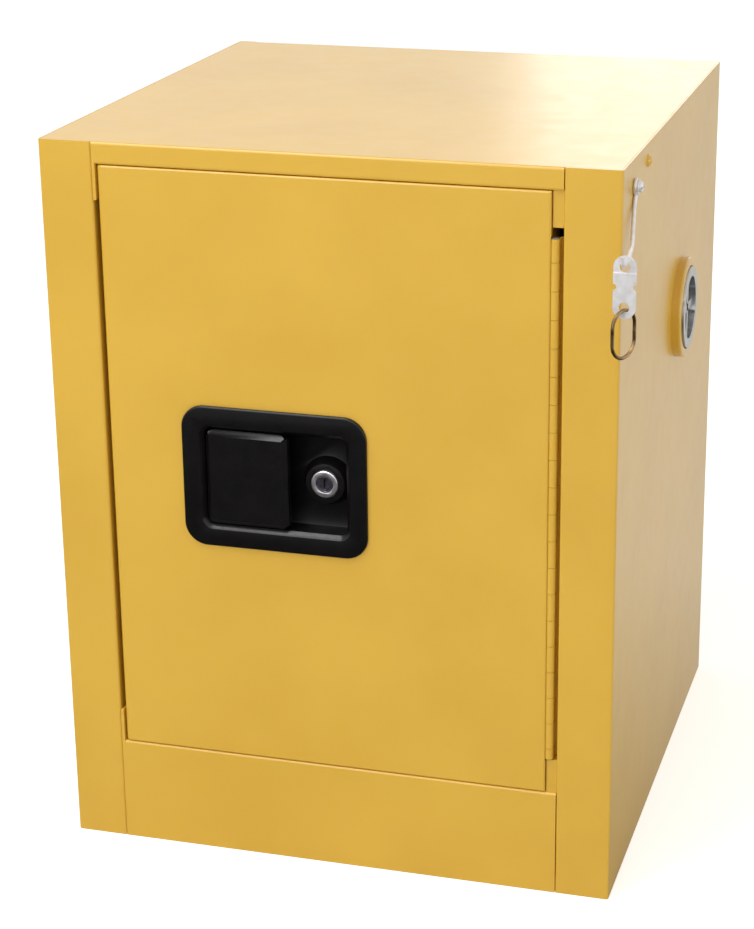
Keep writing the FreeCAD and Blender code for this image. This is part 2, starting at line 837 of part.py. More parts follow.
def latch_clamp():
    """Steel frame behind the front sheet that the studs pull against."""
    outer = rounded_block(pan_x0 + 2, pan_right - 2, front + sheet, front + 2 * sheet,
                          pan_z0 + 2, pan_z0 + pan_height - 2, pan_corner - 2)
    margin = 0.5
    hole = rounded_block(recess_x0 - pan_wall - margin, recess_x1 + pan_wall + margin, front, front + 3 * sheet,
                         recess_z0 - pan_wall - margin, recess_z1 + pan_wall + margin, recess_corner + pan_wall)
    clamp = outer.cut(hole)
    for x, z in stud_places():
        clamp = clamp.cut(rod(vec(x, front, z), vec(0, 1, 0), stud_radius + 0.3, stud_length))
    return clamp


def latch_nuts():
    """Nuts on the pan's studs."""
    nuts = []
    for x, z in stud_places():
        nut = hexagon(vec(x, front + 2 * sheet, z), vec(0, 1, 0), 7.0, 3.2)
        nuts.append(nut.cut(rod(vec(x, front, z), vec(0, 1, 0), stud_radius, stud_length)))
    return Part.makeCompound(nuts)


def paddle():
    """Pull plate with bevelled edges, its pin barrel and the arm that draws the bolt."""
    z0 = recess_z0 + paddle_lower_gap
    x1 = paddle_x0 + paddle_width
    plate = rounded_block(paddle_x0, x1, paddle_face, paddle_face + paddle_thickness, z0, z0 + paddle_height,
                          paddle_corner)
    plate = plate.common(paddle_slopes(paddle_x0, x1, z0, z0 + paddle_height))
    grip = box(x1 - 4, x1, paddle_face + paddle_thickness, paddle_face + paddle_thickness + 4, z0 + 3,
               z0 + paddle_height - 3)
    body = plate.fuse(grip)
    low, high = pin_lug_heights()
    z_low = low + lug_height + lug_clearance
    start = vec(pivot_x, pivot_y, z_low)
    barrel = rod(start, vec(0, 0, 1), paddle_lug_radius, high - lug_clearance - z_low)
    web = box(pivot_x - 2.4, pivot_x + paddle_lug_radius, paddle_face + 3, pivot_y, z_low, high - lug_clearance)
    body = body.fuse(barrel).fuse(web)
    arm = box(-arm_thickness / 2, arm_thickness / 2, 0, arm_length, -arm_height / 2, arm_height / 2)
    arm = fillet_where(arm, arm_thickness / 2 - 0.1, lambda c: c.y > arm_length - 0.01 and abs(c.z) < 0.01)
    arm.rotate(vec(0, 0, 0), vec(0, 0, 1), arm_lean)
    arm.translate(vec(pivot_x, pivot_y, latch_z))
    body = body.fuse(arm)
    for lug_z in (low, high):
        room = lug_height + 2 * lug_clearance
        body = body.cut(rod(vec(pivot_x, pivot_y, lug_z - lug_clearance), vec(0, 0, 1), 4.4, room))
    return body.cut(rod(start - vec(0, 0, 1), vec(0, 0, 1), paddle_pin_radius + running_clearance, high - low))


def paddle_slopes(x0, x1, z0, z1):
    """Blunt pyramid whose four slopes shape the plate's front."""
    y = paddle_face + paddle_slope_depth
    outer = [vec(x0, y, z0), vec(x1, y, z0), vec(x1, y, z1), vec(x0, y, z1)]
    left = x0 + paddle_slope_left
    right = x1 - paddle_slope_right
    low = z0 + paddle_slope_bottom
    high = z1 - paddle_slope_top
    inner = [vec(left, paddle_face, low), vec(right, paddle_face, low), vec(right, paddle_face, high),
             vec(left, paddle_face, high)]
    faces = [Part.Face(Part.makePolygon(inner + [inner[0]])), Part.Face(Part.makePolygon(outer + [outer[0]]))]
    for index in range(4):
        after = (index + 1) % 4
        faces.append(Part.Face(Part.makePolygon([outer[index], outer[after], inner[after], inner[index],
                                                 outer[index]])))
    pyramid = Part.makeSolid(Part.makeShell(faces))
    return pyramid.fuse(box(x0, x1, y, paddle_face + paddle_thickness, z0, z1))


def paddle_pin():
    """Pin that the paddle turns on."""
    low, high = pin_lug_heights()
    return rod(vec(pivot_x, pivot_y, low), vec(0, 0, 1), paddle_pin_radius, high + lug_height - low)


def arm_tip():
    """Point at which the paddle's arm drives the bolt, at rest."""
    reach = arm_length - 1.5
    lean = math.radians(arm_lean)
    return vec(pivot_x - reach * math.sin(lean), pivot_y + reach * math.cos(lean), latch_z)


def latch_bolt():
    """Sliding bolt: bar with a slanted nose, the arm's window, and the tail that carries the spring."""
    tip_x = -stile_inner + bolt_rest_gap
    window_x = arm_tip().x
    bar_end = window_x + bolt_bar_end
    near = bolt_y - bolt_thickness / 2
    far = bolt_y + bolt_thickness / 2
    bar = box(tip_x, bar_end, near, far, latch_z - bolt_height / 2, latch_z + bolt_height / 2)
    ramp = Part.makePolygon([
        vec(tip_x, far, 0),
        vec(tip_x + bolt_thickness, far, 0),
        vec(tip_x, near + 1.5, 0),
        vec(tip_x, far, 0),
    ])
    bolt = bar.cut(Part.Face(ramp).extrude(vec(0, 0, height)))
    reach = bolt_window / 2
    room = arm_height / 2 + lug_clearance
    bolt = bolt.cut(box(window_x - reach, window_x + reach, near - 1, far + 1, latch_z - room, latch_z + room))
    return bolt.fuse(rod(vec(bar_end - 1, bolt_y, latch_z), vec(1, 0, 0), tail_radius, tail_length + 1))


def latch_case():
    """Channel behind the pan that guides the bar and holds the spring's far end."""
    inner_size = bolt_thickness / 2 + slide_clearance
    inside_z = bolt_height / 2 + slide_clearance
    x0 = arm_tip().x - case_reach
    x1 = spring_seat()
    near = recess_floor + pan_wall
    outer = box(x0, x1 + guide_wall, near, bolt_y + inner_size + guide_wall,
                latch_z - inside_z - guide_wall, latch_z + inside_z + guide_wall)
    case = outer.cut(bolt_room(x0 - 1, x1))
    case = case.cut(rod(vec(x1 - 1, bolt_y, latch_z), vec(1, 0, 0), tail_radius + slide_clearance, 5))
    slot_reach = arm_thickness / 2 + 9.0
    slot = box(pivot_x - slot_reach, pivot_x + slot_reach, near - 1, bolt_y, latch_z - arm_height / 2 - 1,
               latch_z + arm_height / 2 + 1)
    return case.cut(slot)


def spring_seat():
    """Face of the case that the spring pushes against."""
    return arm_tip().x + bolt_bar_end + spring_length


def bolt_spring():
    """Compression spring round the bolt's tail."""
    radius = tail_radius + spring_clearance + spring_wire / 2
    start = arm_tip().x + bolt_bar_end + spring_wire / 2 + 0.1
    run = spring_length - spring_wire - 0.2
    coil = wire_pipe(helix_edges(radius, run / spring_coils, spring_coils), spring_wire / 2)
    coil.Placement = FreeCAD.Placement(vec(start, bolt_y, latch_z),
                                       FreeCAD.Rotation(vec(0, 0, 1), vec(1, 0, 0)))
    return coil


def bolt_guide():
    """Bracket inside the door's left wall that keeps the nose straight."""
    x0 = door_left + 2 * sheet
    reach_y = bolt_thickness / 2 + slide_clearance + guide_wall
    reach_z = bolt_height / 2 + slide_clearance + guide_wall
    outer = box(x0, x0 + guide_length, bolt_y - reach_y, bolt_y + reach_y, latch_z - reach_z, latch_z + reach_z)
    foot = box(x0, x0 + guide_wall, bolt_y - reach_y, bolt_y + reach_y, latch_z - reach_z - guide_foot,
               latch_z + reach_z + guide_foot)
    return outer.fuse(foot).cut(bolt_room(x0 - 1, x0 + guide_length + 1))


def lock_barrel():
    """Fixed lock housing with its bright front ring."""
    face = boss_face - lock_proud
    ring = rod(vec(lock_x, face, lock_z), vec(0, 1, 0), lock_ring_radius, lock_proud)
    ring = fillet_where(ring, 0.9, lambda c: c.y < face + 0.01)
    barrel = rod(vec(lock_x, boss_face, lock_z), vec(0, 1, 0), lock_barrel_radius, lock_reach())
    bore = rod(vec(lock_x, face - 1, lock_z), vec(0, 1, 0), lock_plug_radius + running_clearance,
               lock_reach() + lock_proud + 2)
    return ring.fuse(barrel).cut(bore)


def lock_reach():
    """Length of the lock housing behind the boss."""
    return boss_height + pan_wall + lock_nut_thickness + lock_tail


def lock_nut():
    """Nut that clamps the lock housing in the pan."""
    start = vec(lock_x, recess_floor + pan_wall, lock_z)
    nut = hexagon(start, vec(0, 1, 0), lock_nut_width, lock_nut_thickness)
    return nut.cut(rod(start - vec(0, 1, 0), vec(0, 1, 0), lock_barrel_radius, lock_nut_thickness + 2))


def lock_plug():
    """Turning plug with its keyway and the square that carries the cam."""
    face = boss_face - lock_proud + 0.5
    end = boss_face + lock_reach() + 0.5
    plug = rod(vec(lock_x, face, lock_z), vec(0, 1, 0), lock_plug_radius, end - face)
    keyway = box(lock_x - keyway_width / 2, lock_x + keyway_width / 2, face - 1, face + keyway_depth,
                 lock_z - keyway_height / 2, lock_z + keyway_height / 2)
    tail = box(lock_x - 2.5, lock_x + 2.5, end - 1, end + cam_thickness + 1.5, lock_z - 2.5, lock_z + 2.5)
    return plug.cut(keyway).fuse(tail)


def lock_cam():
    """Tongue on the plug's tail."""
    y0 = boss_face + lock_reach() + 0.5
    half = cam_width / 2
    disc = rod(vec(lock_x, y0, lock_z), vec(0, 1, 0), half, cam_thickness)
    tongue = box(lock_x - half, lock_x + half, y0, y0 + cam_thickness, lock_z, lock_z + cam_length)
    cam = disc.fuse(tongue)
    cam = cam.cut(box(lock_x - 2.5, lock_x + 2.5, y0 - 1, y0 + cam_thickness + 1, lock_z - 2.5, lock_z + 2.5))
    return fillet_where(cam, 2.0, lambda c: c.z > lock_z + cam_length - 0.01 and abs(c.x - lock_x) > 1)


def vent_duct(z):
    """Weld-in vent fitting: painted collar outside and duct through both walls."""
    y = back - vent_setback
    along = vec(1, 0, 0)
    collar = rod(vec(side, y, z), along, collar_radius, collar_height)
    collar = fillet_where(collar, 2.0, lambda c: c.x > side + collar_height - 0.01)
    duct = rod(vec(liner_side - sheet, y, z), along, duct_outer_radius, side - liner_side + sheet + 1)
    body = collar.fuse(duct)
    body = body.cut(rod(vec(0, y, z), along, duct_bore_radius, width))
    return body.cut(rod(vec(vent_seat(), y, z), along, plug_rim_radius + counterbore_clearance, collar_height))


def vent_seat():
    """Place of the counterbore's floor, on which the gasket lies."""
    return side + collar_height - counterbore_depth


def vent_gasket(z):
    """Flat ring under the plug's rim."""
    seat = vent_seat()
    return tube(vec(seat, back - vent_setback, z), vec(1, 0, 0), plug_rim_radius - 0.4, gasket_inner_radius,
                gasket_thickness)


def vent_plug(z):
    """Screwed plug with a sunk face and a cross for the wrench."""
    y = back - vent_setback
    along = vec(1, 0, 0)
    rim_x = vent_seat() + gasket_thickness
    rim = rod(vec(rim_x, y, z), along, plug_rim_radius, plug_rim_thickness)
    rim = fillet_where(rim, 1.2, lambda c: c.x > rim_x + plug_rim_thickness - 0.01)
    core = rod(vec(rim_x - plug_body_length, y, z), along, duct_bore_radius - running_clearance, plug_body_length + 1)
    body = rim.fuse(core)
    face = rim_x + plug_rim_thickness
    body = body.cut(rod(vec(face - plug_recess_depth, y, z), along, plug_recess_radius, plug_recess_depth + 1))
    reach = plug_recess_radius + 0.5
    half = plug_bar_width / 2
    low = face - plug_recess_depth - 0.5
    high = face - plug_bar_drop
    upright = box(low, high, y - half, y + half, z - reach, z + reach)
    level = box(low, high, y - reach, y + reach, z - half, z + half)
    return body.fuse(upright).fuse(level)


def flame_screen(z):
    """Perforated disc in the duct's inner end."""
    y = back - vent_setback
    start = liner_side - sheet + 2.0
    disc = rod(vec(start, y, z), vec(1, 0, 0), duct_bore_radius, screen_thickness)
    steps = int(duct_bore_radius / screen_pitch)
    half = screen_hole / 2
    holes = []
    for row in range(-steps, steps + 1):
        for column in range(-steps, steps + 1):
            if math.hypot(row, column) * screen_pitch + screen_hole * 0.75 < duct_bore_radius - 1:
                cy = y + column * screen_pitch
                cz = z + row * screen_pitch
                holes.append(box(start - 1, start + screen_thickness + 1, cy - half, cy + half,
                                 cz - half, cz + half))
    return disc.cut(Part.makeCompound(holes))


def anchor_place():
    """Point on the right wall where the hanging arm is screwed on."""
    return vec(side, front + arm_anchor_setback, height - arm_anchor_drop)


def hook_height():
    """Height of the arm's wire where it passes through the link's upper hole."""
    return link_hole_height + link_hole_radius - arm_wire_radius - hang_clearance


def link_arm():
    """Wire arm: eye under the screw, run down and forward, and hook for the link."""
    anchor = anchor_place()
    x_wall = side + arm_wire_radius
    eye = Part.makeTorus(arm_eye_radius, arm_wire_radius, vec(x_wall, anchor.y, anchor.z), vec(1, 0, 0))
    x_link = side + link_offset
    z_hook = hook_height()
    y_link = front - link_reach
    points = [
        vec(x_wall, anchor.y - 1.0, anchor.z - arm_eye_radius),
        vec(x_wall, anchor.y - 6.0, anchor.z - arm_eye_radius - 8.0),
        vec(x_link, front + 10.0, z_hook + 7.0),
        vec(x_link, front - 2.0, z_hook),
        vec(x_link, y_link - 7.5, z_hook),
        vec(x_link, y_link - 8.5, z_hook + 7.0),
    ]
    arm = wire_pipe(filleted_edges(points, [8.0, 8.0, 8.0, 3.0]), arm_wire_radius)
    return eye.fuse(arm)


def anchor_screw():
    """Pan-head screw that clamps the arm's eye to the wall."""
    anchor = anchor_place()
    head = anchor + vec(2 * arm_wire_radius, 0, 0)
    shank = rod(anchor - vec(2 * sheet, 0, 0), vec(1, 0, 0), anchor_shank_radius, 2 * sheet + 2 * arm_wire_radius)
    washer = rod(anchor + vec(2 * arm_wire_radius, 0, 0), vec(1, 0, 0), arm_eye_radius + 1.0, 0.8)
    cap = rod(head + vec(0.8, 0, 0), vec(1, 0, 0), anchor_head_radius, anchor_head_height)
    cap = fillet_where(cap, 1.4, lambda c: c.x > head.x + 0.8 + anchor_head_height - 0.01)
    slot = box(head.x + 2.2, head.x + 5, anchor.y - 5, anchor.y + 5, anchor.z - 0.5, anchor.z + 0.5)
    return shank.fuse(washer).fuse(cap.cut(slot))


def link_half(upper):
    """One of the two plates that the fusible solder joins."""
    x = side + link_offset
    y_mid = front - link_reach
    y0 = y_mid if upper else y_mid - link_sheet
    middle = link_hole_height - link_hole_spacing / 2
    hole_z = link_hole_height if upper else link_hole_height - link_hole_spacing
    end_z = middle - link_overlap if upper else middle + link_overlap
    disc = rod(vec(x, y0, hole_z), vec(0, 1, 0), link_end_radius, link_sheet)
    strip = box(x - link_end_radius, x + link_end_radius, y0, y0 + link_sheet, hole_z, end_z)
    plate = disc.fuse(strip)
    for sign in (-1, 1):
        plate = plate.cut(rod(vec(x + sign * link_end_radius, y0 - 1, middle), vec(0, 1, 0), link_notch_radius, 4))
    return plate.cut(rod(vec(x, y0 - 1, hole_z), vec(0, 1, 0), link_hole_radius, 4))


def link_ring():
    """Oval ring in the link's lower hole."""
    top = link_hole_height - link_hole_spacing - link_hole_radius + ring_wire_radius + ring_clearance
    centre = vec(side + link_offset, front - link_reach - link_sheet / 2, top - ring_end_radius)
    yaw = math.radians(ring_yaw)
    across = vec(math.cos(yaw), math.sin(yaw), 0) * ring_end_radius
    drop = vec(0, 0, -ring_straight)
    up = vec(0, 0, ring_end_radius)
    edges = [
        Part.Arc(centre - across, centre + up, centre + across).toShape(),
        Part.LineSegment(centre + across, centre + across + drop).toShape(),
        Part.Arc(centre + across + drop, centre - up + drop, centre - across + drop).toShape(),
        Part.LineSegment(centre - across + drop, centre - across).toShape(),
    ]
    return wire_pipe(edges, ring_wire_radius)


def side_dome():
    """Painted dome-headed bolt near the top of the right side."""
    x = side
    y = front + dome_setback
    z = height - dome_drop
    ball = (dome_radius ** 2 + dome_height ** 2) / (2 * dome_height)
    sphere = Part.makeSphere(ball, vec(x + dome_height - ball, y, z))
    head = sphere.common(box(x, x + 10, y - 10, y + 10, z - 10, z + 10))
    return head.fuse(rod(vec(x - 3 * sheet, y, z), vec(1, 0, 0), dome_shank_radius, 3 * sheet + 0.5))


def earth_place():
    """Point on the back panel where the earth stud stands."""
    return vec(-side + earth_inset, back - sheet - seam, earth_height)


def earth_stud():
    """Threaded stud for the earthing wire."""
    start = earth_place() - vec(0, 2 * sheet, 0)
    along = vec(0, 1, 0)
    stack = 2 * earth_washer_thickness + earth_nut_thickness + earth_neck_margin
    neck = rod(start, along, earth_neck_radius, stack + 2 * sheet)
    end = rod(earth_place() + along * stack, along, earth_radius, earth_length - stack)
    end = chamfer_where(end, 0.6, lambda c: c.y > earth_place().y + earth_length - 0.01)
    head = hexagon(start - along * earth_nut_thickness, along, earth_nut_width, earth_nut_thickness + sheet)
    return neck.fuse(end).fuse(head)


def earth_nuts():
    """Washers and nuts on the earth stud, with room for a wire's lug between the washers."""
    place = earth_place()
    step = earth_washer_thickness
    pieces = []
    y = place.y
    for kind in ("washer", "nut", "washer"):
        start = vec(place.x, y, place.z)
        if kind == "washer":
            piece = rod(start, vec(0, 1, 0), earth_washer_radius, step)
            y += step
        else:
            piece = hexagon(start, vec(0, 1, 0), earth_nut_width, earth_nut_thickness)
            y += earth_nut_thickness
        pieces.append(piece.cut(rod(start - vec(0, 1, 0), vec(0, 1, 0), earth_neck_radius, 12)))
    return Part.makeCompound(pieces)


def main():
    """Build and write every sub-part."""
    save("outer_right_side", outer_right_side())
    save("outer_left_side", mirror_x(side_panel(left_vent_height)).cut(strike_window(strike_clearance)))
    save("outer_top", outer_top())
    save("bottom_rail", bottom_rail())
    save("outer_back", outer_back())
    save("outer_base", outer_base())
    save("liner_right", liner_wall(right_vent_height))
    save("liner_left", mirror_x(liner_wall(left_vent_height)).cut(strike_window(strike_clearance)))
    save("floor_bearers", floor_bearers())
    save("liner_top", liner_top())
    save("liner_back", liner_rear())
    save("sump_tray", sump_tray())
    save("shelf", shelf())
    save("shelf_clips", shelf_clips())
    save("strike_plate", strike_plate())
    save("door_skin", door_skin())
    save("door_inner_pan", door_inner_pan())
    save("door_upper_stiffener", door_stiffener(inner_pan_top - 60))
    save("door_lower_stiffener", door_stiffener(inner_pan_bottom + 70))
    save("hinge_door_leaf", hinge_door_leaf())
    save("hinge_frame_leaf", hinge_frame_leaf())
    save("hinge_pin", hinge_pin())
    save("latch_pan", latch_pan())
    save("latch_clamp", latch_clamp())
    save("latch_nuts", latch_nuts())
    save("latch_case", latch_case())
    save("paddle", paddle())
    save("paddle_pin", paddle_pin())
    save("latch_bolt", latch_bolt())
    save("bolt_spring", bolt_spring())
    save("bolt_guide", bolt_guide())
    save("lock_barrel", lock_barrel())
    save("lock_nut", lock_nut())
    save("lock_plug", lock_plug())
    save("lock_cam", lock_cam())
    for name, z in (("right", right_vent_height), ("left", left_vent_height)):
        pieces = {
            "vent_duct": vent_duct(z),
            "vent_gasket": vent_gasket(z),
            "vent_plug": vent_plug(z),
            "flame_screen": flame_screen(z),
        }
        for piece, shape in pieces.items():
            save(name + "_" + piece, shape if name == "right" else mirror_x(shape))
    save("link_arm", link_arm())
    save("anchor_screw", anchor_screw())
    save("link_upper_plate", link_half(True))
    save("link_lower_plate", link_half(False))
    save("link_ring", link_ring())
    save("side_dome", side_dome())
    save("earth_stud", earth_stud())
    save("earth_nuts", earth_nuts())


main()
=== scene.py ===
"""Countertop flammables cabinet: finishes, hand-modelled pieces, studio and camera."""

from __future__ import annotations

import json
import logging
import math
from collections.abc import Callable
from dataclasses import dataclass
from enum import Enum

import bpy
from mathutils import Euler, Matrix, Vector

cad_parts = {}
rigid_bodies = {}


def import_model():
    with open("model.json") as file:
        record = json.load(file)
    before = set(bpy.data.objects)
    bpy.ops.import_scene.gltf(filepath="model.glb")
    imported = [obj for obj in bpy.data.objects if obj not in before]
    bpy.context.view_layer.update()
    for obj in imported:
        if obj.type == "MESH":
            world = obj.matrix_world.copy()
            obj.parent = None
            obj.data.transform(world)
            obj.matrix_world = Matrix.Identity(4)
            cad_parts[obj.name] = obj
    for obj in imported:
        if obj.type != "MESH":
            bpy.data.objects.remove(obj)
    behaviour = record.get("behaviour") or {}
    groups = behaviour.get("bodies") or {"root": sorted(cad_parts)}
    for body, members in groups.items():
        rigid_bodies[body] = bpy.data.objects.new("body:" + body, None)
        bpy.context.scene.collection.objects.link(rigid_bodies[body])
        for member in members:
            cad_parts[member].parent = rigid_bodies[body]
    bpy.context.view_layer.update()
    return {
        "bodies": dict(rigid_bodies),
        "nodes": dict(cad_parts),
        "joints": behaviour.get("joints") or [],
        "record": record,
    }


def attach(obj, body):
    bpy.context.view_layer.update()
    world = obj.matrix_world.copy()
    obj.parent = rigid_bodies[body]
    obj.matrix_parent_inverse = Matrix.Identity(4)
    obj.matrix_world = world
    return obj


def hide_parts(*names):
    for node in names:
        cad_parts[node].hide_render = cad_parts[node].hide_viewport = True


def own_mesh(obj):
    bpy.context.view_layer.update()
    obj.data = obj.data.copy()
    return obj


LOG = logging.getLogger("cabinet")
MM = 0.001
NEAR = 0.01  # millimetres within which a point counts as on a plane
ALONG = 0.9  # share of a unit vector above which it counts as lying along an axis
SMOOTH_ANGLE = 38.0  # degrees up to which shading runs smoothly over an edge
CORNER_STEPS = 14
BACKWARD = (0, 1, 0)
UPWARD = (0, 0, 1)
LATCH_LUGS = ((283.0, 287.0), (336.6, 340.6))
PADDLE_PIVOT = (-87.0, -212.0)
ARM_HEIGHT = 313.0
LOCK_CENTRE = (-4.7, 310.7)
LOCK_BOSS_FACE = -206.5
LOCK_BARREL_RADIUS = 8.4

Pair = tuple[float, float]
Triple = tuple[float, float, float]


class Finish(Enum):
    """Names of the finishes, each with the record's material slot that it dresses."""

    POWDER_COAT = "yellow_paint"
    ZINC = "zinc_steel"
    PLAIN_STEEL = "plain_steel"
    BLACK_MOULDING = "black_plastic"
    CHROME = "bright_chrome"
    RING_METAL = "ring_brass"
    GASKET = "gasket_rubber"


class Graph:
    """Small helper that builds one material's node tree."""

    def __init__(self, name: str) -> None:
        """Start an empty tree with its surface shader.

        Args:
            name: The material's name.
        """
        self.material = bpy.data.materials.new(name)
        self.material.use_nodes = True
        self.nodes = self.material.node_tree.nodes
        self.links = self.material.node_tree.links
        self.nodes.clear()
        self.output = self.nodes.new("ShaderNodeOutputMaterial")
        self.shader = self.nodes.new("ShaderNodeBsdfPrincipled")
        self.links.new(self.shader.outputs["BSDF"], self.output.inputs["Surface"])
        self.coordinates = self.nodes.new("ShaderNodeTexCoord").outputs["Object"]

    def set(self, **values: object) -> None:
        """Write constants on the shader's sockets.

        Args:
            values: Constant for each socket, with underscores for the spaces in its name.
        """
        for key, value in values.items():
            self.shader.inputs[key.replace("_", " ")].default_value = value

    def noise(self, scale: float, detail: float = 2.0) -> bpy.types.NodeSocket:
        """Fractal noise on object coordinates.

        Args:
            scale: Waves per metre.
            detail: Octaves.

        Returns:
            The noise's value socket.
        """
        node = self.nodes.new("ShaderNodeTexNoise")
        node.inputs["Scale"].default_value = scale
        node.inputs["Detail"].default_value = detail
        self.links.new(self.coordinates, node.inputs["Vector"])
        return node.outputs["Fac"]

    def stretched_noise(self, scale: Triple, detail: float = 3.0) -> bpy.types.NodeSocket:
        """Noise drawn out along the axis with the smallest scale.

        Args:
            scale: Waves per metre along each axis.
            detail: Octaves.

        Returns:
            The noise's value socket.
        """
        mapping = self.nodes.new("ShaderNodeMapping")
        mapping.inputs["Scale"].default_value = scale
        self.links.new(self.coordinates, mapping.inputs["Vector"])
        node = self.nodes.new("ShaderNodeTexNoise")
        node.inputs["Scale"].default_value = 1.0
        node.inputs["Detail"].default_value = detail
        self.links.new(mapping.outputs["Vector"], node.inputs["Vector"])
        return node.outputs["Fac"]

    def cells(self, scale: float) -> bpy.types.NodeSocket:
        """Voronoi cells on object coordinates.

        Args:
            scale: Cells per metre.

        Returns:
            The cells' random colour socket.
        """
        node = self.nodes.new("ShaderNodeTexVoronoi")
        node.inputs["Scale"].default_value = scale
        self.links.new(self.coordinates, node.inputs["Vector"])
        return node.outputs["Color"]

    def remap(self, value: bpy.types.NodeSocket, low: float, high: float, start: float = 0.3,
              end: float = 0.7) -> bpy.types.NodeSocket:
        """Spread a value between two limits.

        Args:
            value: Socket to spread.
            low: Result at the start.
            high: Result at the end.
            start: Lowest input that matters.
            end: Highest input that matters.

        Returns:
            The result's socket.
        """
        node = self.nodes.new("ShaderNodeMapRange")
        node.inputs["From Min"].default_value = start
        node.inputs["From Max"].default_value = end
        node.inputs["To Min"].default_value = low
        node.inputs["To Max"].default_value = high
        self.links.new(value, node.inputs["Value"])
        return node.outputs["Result"]

    def blend(self, value: bpy.types.NodeSocket, first: tuple[float, ...], second: tuple[float, ...],
              start: float = 0.35, end: float = 0.65) -> bpy.types.NodeSocket:
        """Colour between two tones by a value.

        Args:
            value: Socket that picks the tone.
            first: Linear colour at the start.
            second: Linear colour at the end.
            start: Value with the first tone.
            end: Value with the second tone.

        Returns:
            The colour's socket.
        """
        ramp = self.nodes.new("ShaderNodeValToRGB")
        ramp.color_ramp.elements[0].position = start
        ramp.color_ramp.elements[0].color = (*first, 1.0)
        ramp.color_ramp.elements[1].position = end
        ramp.color_ramp.elements[1].color = (*second, 1.0)
        self.links.new(value, ramp.inputs["Fac"])
        return ramp.outputs["Color"]

    def bump(self, value: bpy.types.NodeSocket, strength: float, distance: float) -> None:
        """Raise the surface by a value, on top of any bump made before.

        Args:
            value: Height between 0 and 1.
            strength: How strong the bump is.
            distance: Height of the highest point in metres.
        """
        node = self.nodes.new("ShaderNodeBump")
        node.inputs["Strength"].default_value = strength
        node.inputs["Distance"].default_value = distance
        self.links.new(value, node.inputs["Height"])
        socket = self.shader.inputs["Normal"]
        if socket.is_linked:
            self.links.new(socket.links[0].from_socket, node.inputs["Normal"])
        self.links.new(node.outputs["Normal"], socket)

    def feed(self, name: str, value: bpy.types.NodeSocket) -> None:
        """Link a value to one of the shader's sockets."""
        self.links.new(value, self.shader.inputs[name])


@dataclass(frozen=True)
class PowderCoat:
    """Glossy yellow powder coat with a slight orange peel."""

    tone: Triple = (0.75, 0.455, 0.05)
    shade: Triple = (0.71, 0.42, 0.042)
    cloud_scale: float = 9.0
    gloss_scale: float = 60.0
    gloss: Pair = (0.29, 0.35)
    coat: Pair = (0.5, 0.3)
    peel_scale: float = 380.0
    peel_height: float = 0.00002

    def build(self) -> bpy.types.Material:
        """Make the material.

        Returns:
            The material.
        """
        graph = Graph("powder_coat_yellow")
        weight, roughness = self.coat
        graph.set(IOR=1.5, Metallic=0.0, Coat_Weight=weight, Coat_Roughness=roughness)
        graph.feed("Base Color", graph.blend(graph.noise(self.cloud_scale, 3.0), self.shade, self.tone))
        graph.feed("Roughness", graph.remap(graph.noise(self.gloss_scale, 3.0), *self.gloss))
        graph.bump(graph.noise(self.peel_scale, 1.0), 0.3, self.peel_height)
        return graph.material


@dataclass(frozen=True)
class ZincPlate:
    """Bright zinc plating with faint cloudiness and fine scratches."""

    tone: Triple = (0.62, 0.62, 0.61)
    dull: Triple = (0.54, 0.54, 0.53)
    cloud_scale: float = 120.0
    gloss_scale: float = 300.0
    gloss: Pair = (0.29, 0.42)
    scratches: Triple = (1800.0, 1800.0, 120.0)
    scratch_height: float = 0.00003

    def build(self) -> bpy.types.Material:
        """Make the material.

        Returns:
            The material.
        """
        graph = Graph("zinc_plate")
        graph.set(Metallic=1.0)
        graph.feed("Base Color", graph.blend(graph.noise(self.cloud_scale, 4.0), self.dull, self.tone))
        graph.feed("Roughness", graph.remap(graph.noise(self.gloss_scale, 3.0), *self.gloss))
        graph.bump(graph.stretched_noise(self.scratches), 0.12, self.scratch_height)
        return graph.material


@dataclass(frozen=True)
class PlainSheet:
    """Galvanised sheet with its spangle."""

    tone: Triple = (0.55, 0.56, 0.57)
    dull: Triple = (0.38, 0.39, 0.4)
    spangle_scale: float = 170.0
    gloss: Pair = (0.3, 0.5)
    grain_scale: float = 500.0
    grain_height: float = 0.00003

    def build(self) -> bpy.types.Material:
        """Make the material.

        Returns:
            The material.
        """
        graph = Graph("galvanised_sheet")
        graph.set(Metallic=1.0)
        spangle = graph.nodes.new("ShaderNodeSeparateColor")
        graph.links.new(graph.cells(self.spangle_scale), spangle.inputs["Color"])
        graph.feed("Base Color", graph.blend(spangle.outputs["Red"], self.dull, self.tone, 0.0, 1.0))
        graph.feed("Roughness", graph.remap(spangle.outputs["Green"], *self.gloss, 0.0, 1.0))
        graph.bump(graph.noise(self.grain_scale, 2.0), 0.1, self.grain_height)
        return graph.material


@dataclass(frozen=True)
class BlackMoulding:
    """Black moulded nylon with a fine satin grain."""

    tone: Triple = (0.003, 0.0023, 0.0025)
    worn: Triple = (0.0048, 0.0038, 0.004)
    cloud_scale: float = 60.0
    gloss_scale: float = 400.0
    gloss: Pair = (0.285, 0.36)
    grain_scale: float = 1800.0
    grain_height: float = 0.00001

    def build(self) -> bpy.types.Material:
        """Make the material.

        Returns:
            The material.
        """
        graph = Graph("black_moulding")
        graph.set(IOR=1.42)
        graph.feed("Base Color", graph.blend(graph.noise(self.cloud_scale, 3.0), self.tone, self.worn))
        graph.feed("Roughness", graph.remap(graph.noise(self.gloss_scale, 2.0), *self.gloss))
        graph.bump(graph.noise(self.grain_scale, 1.0), 0.2, self.grain_height)
        return graph.material


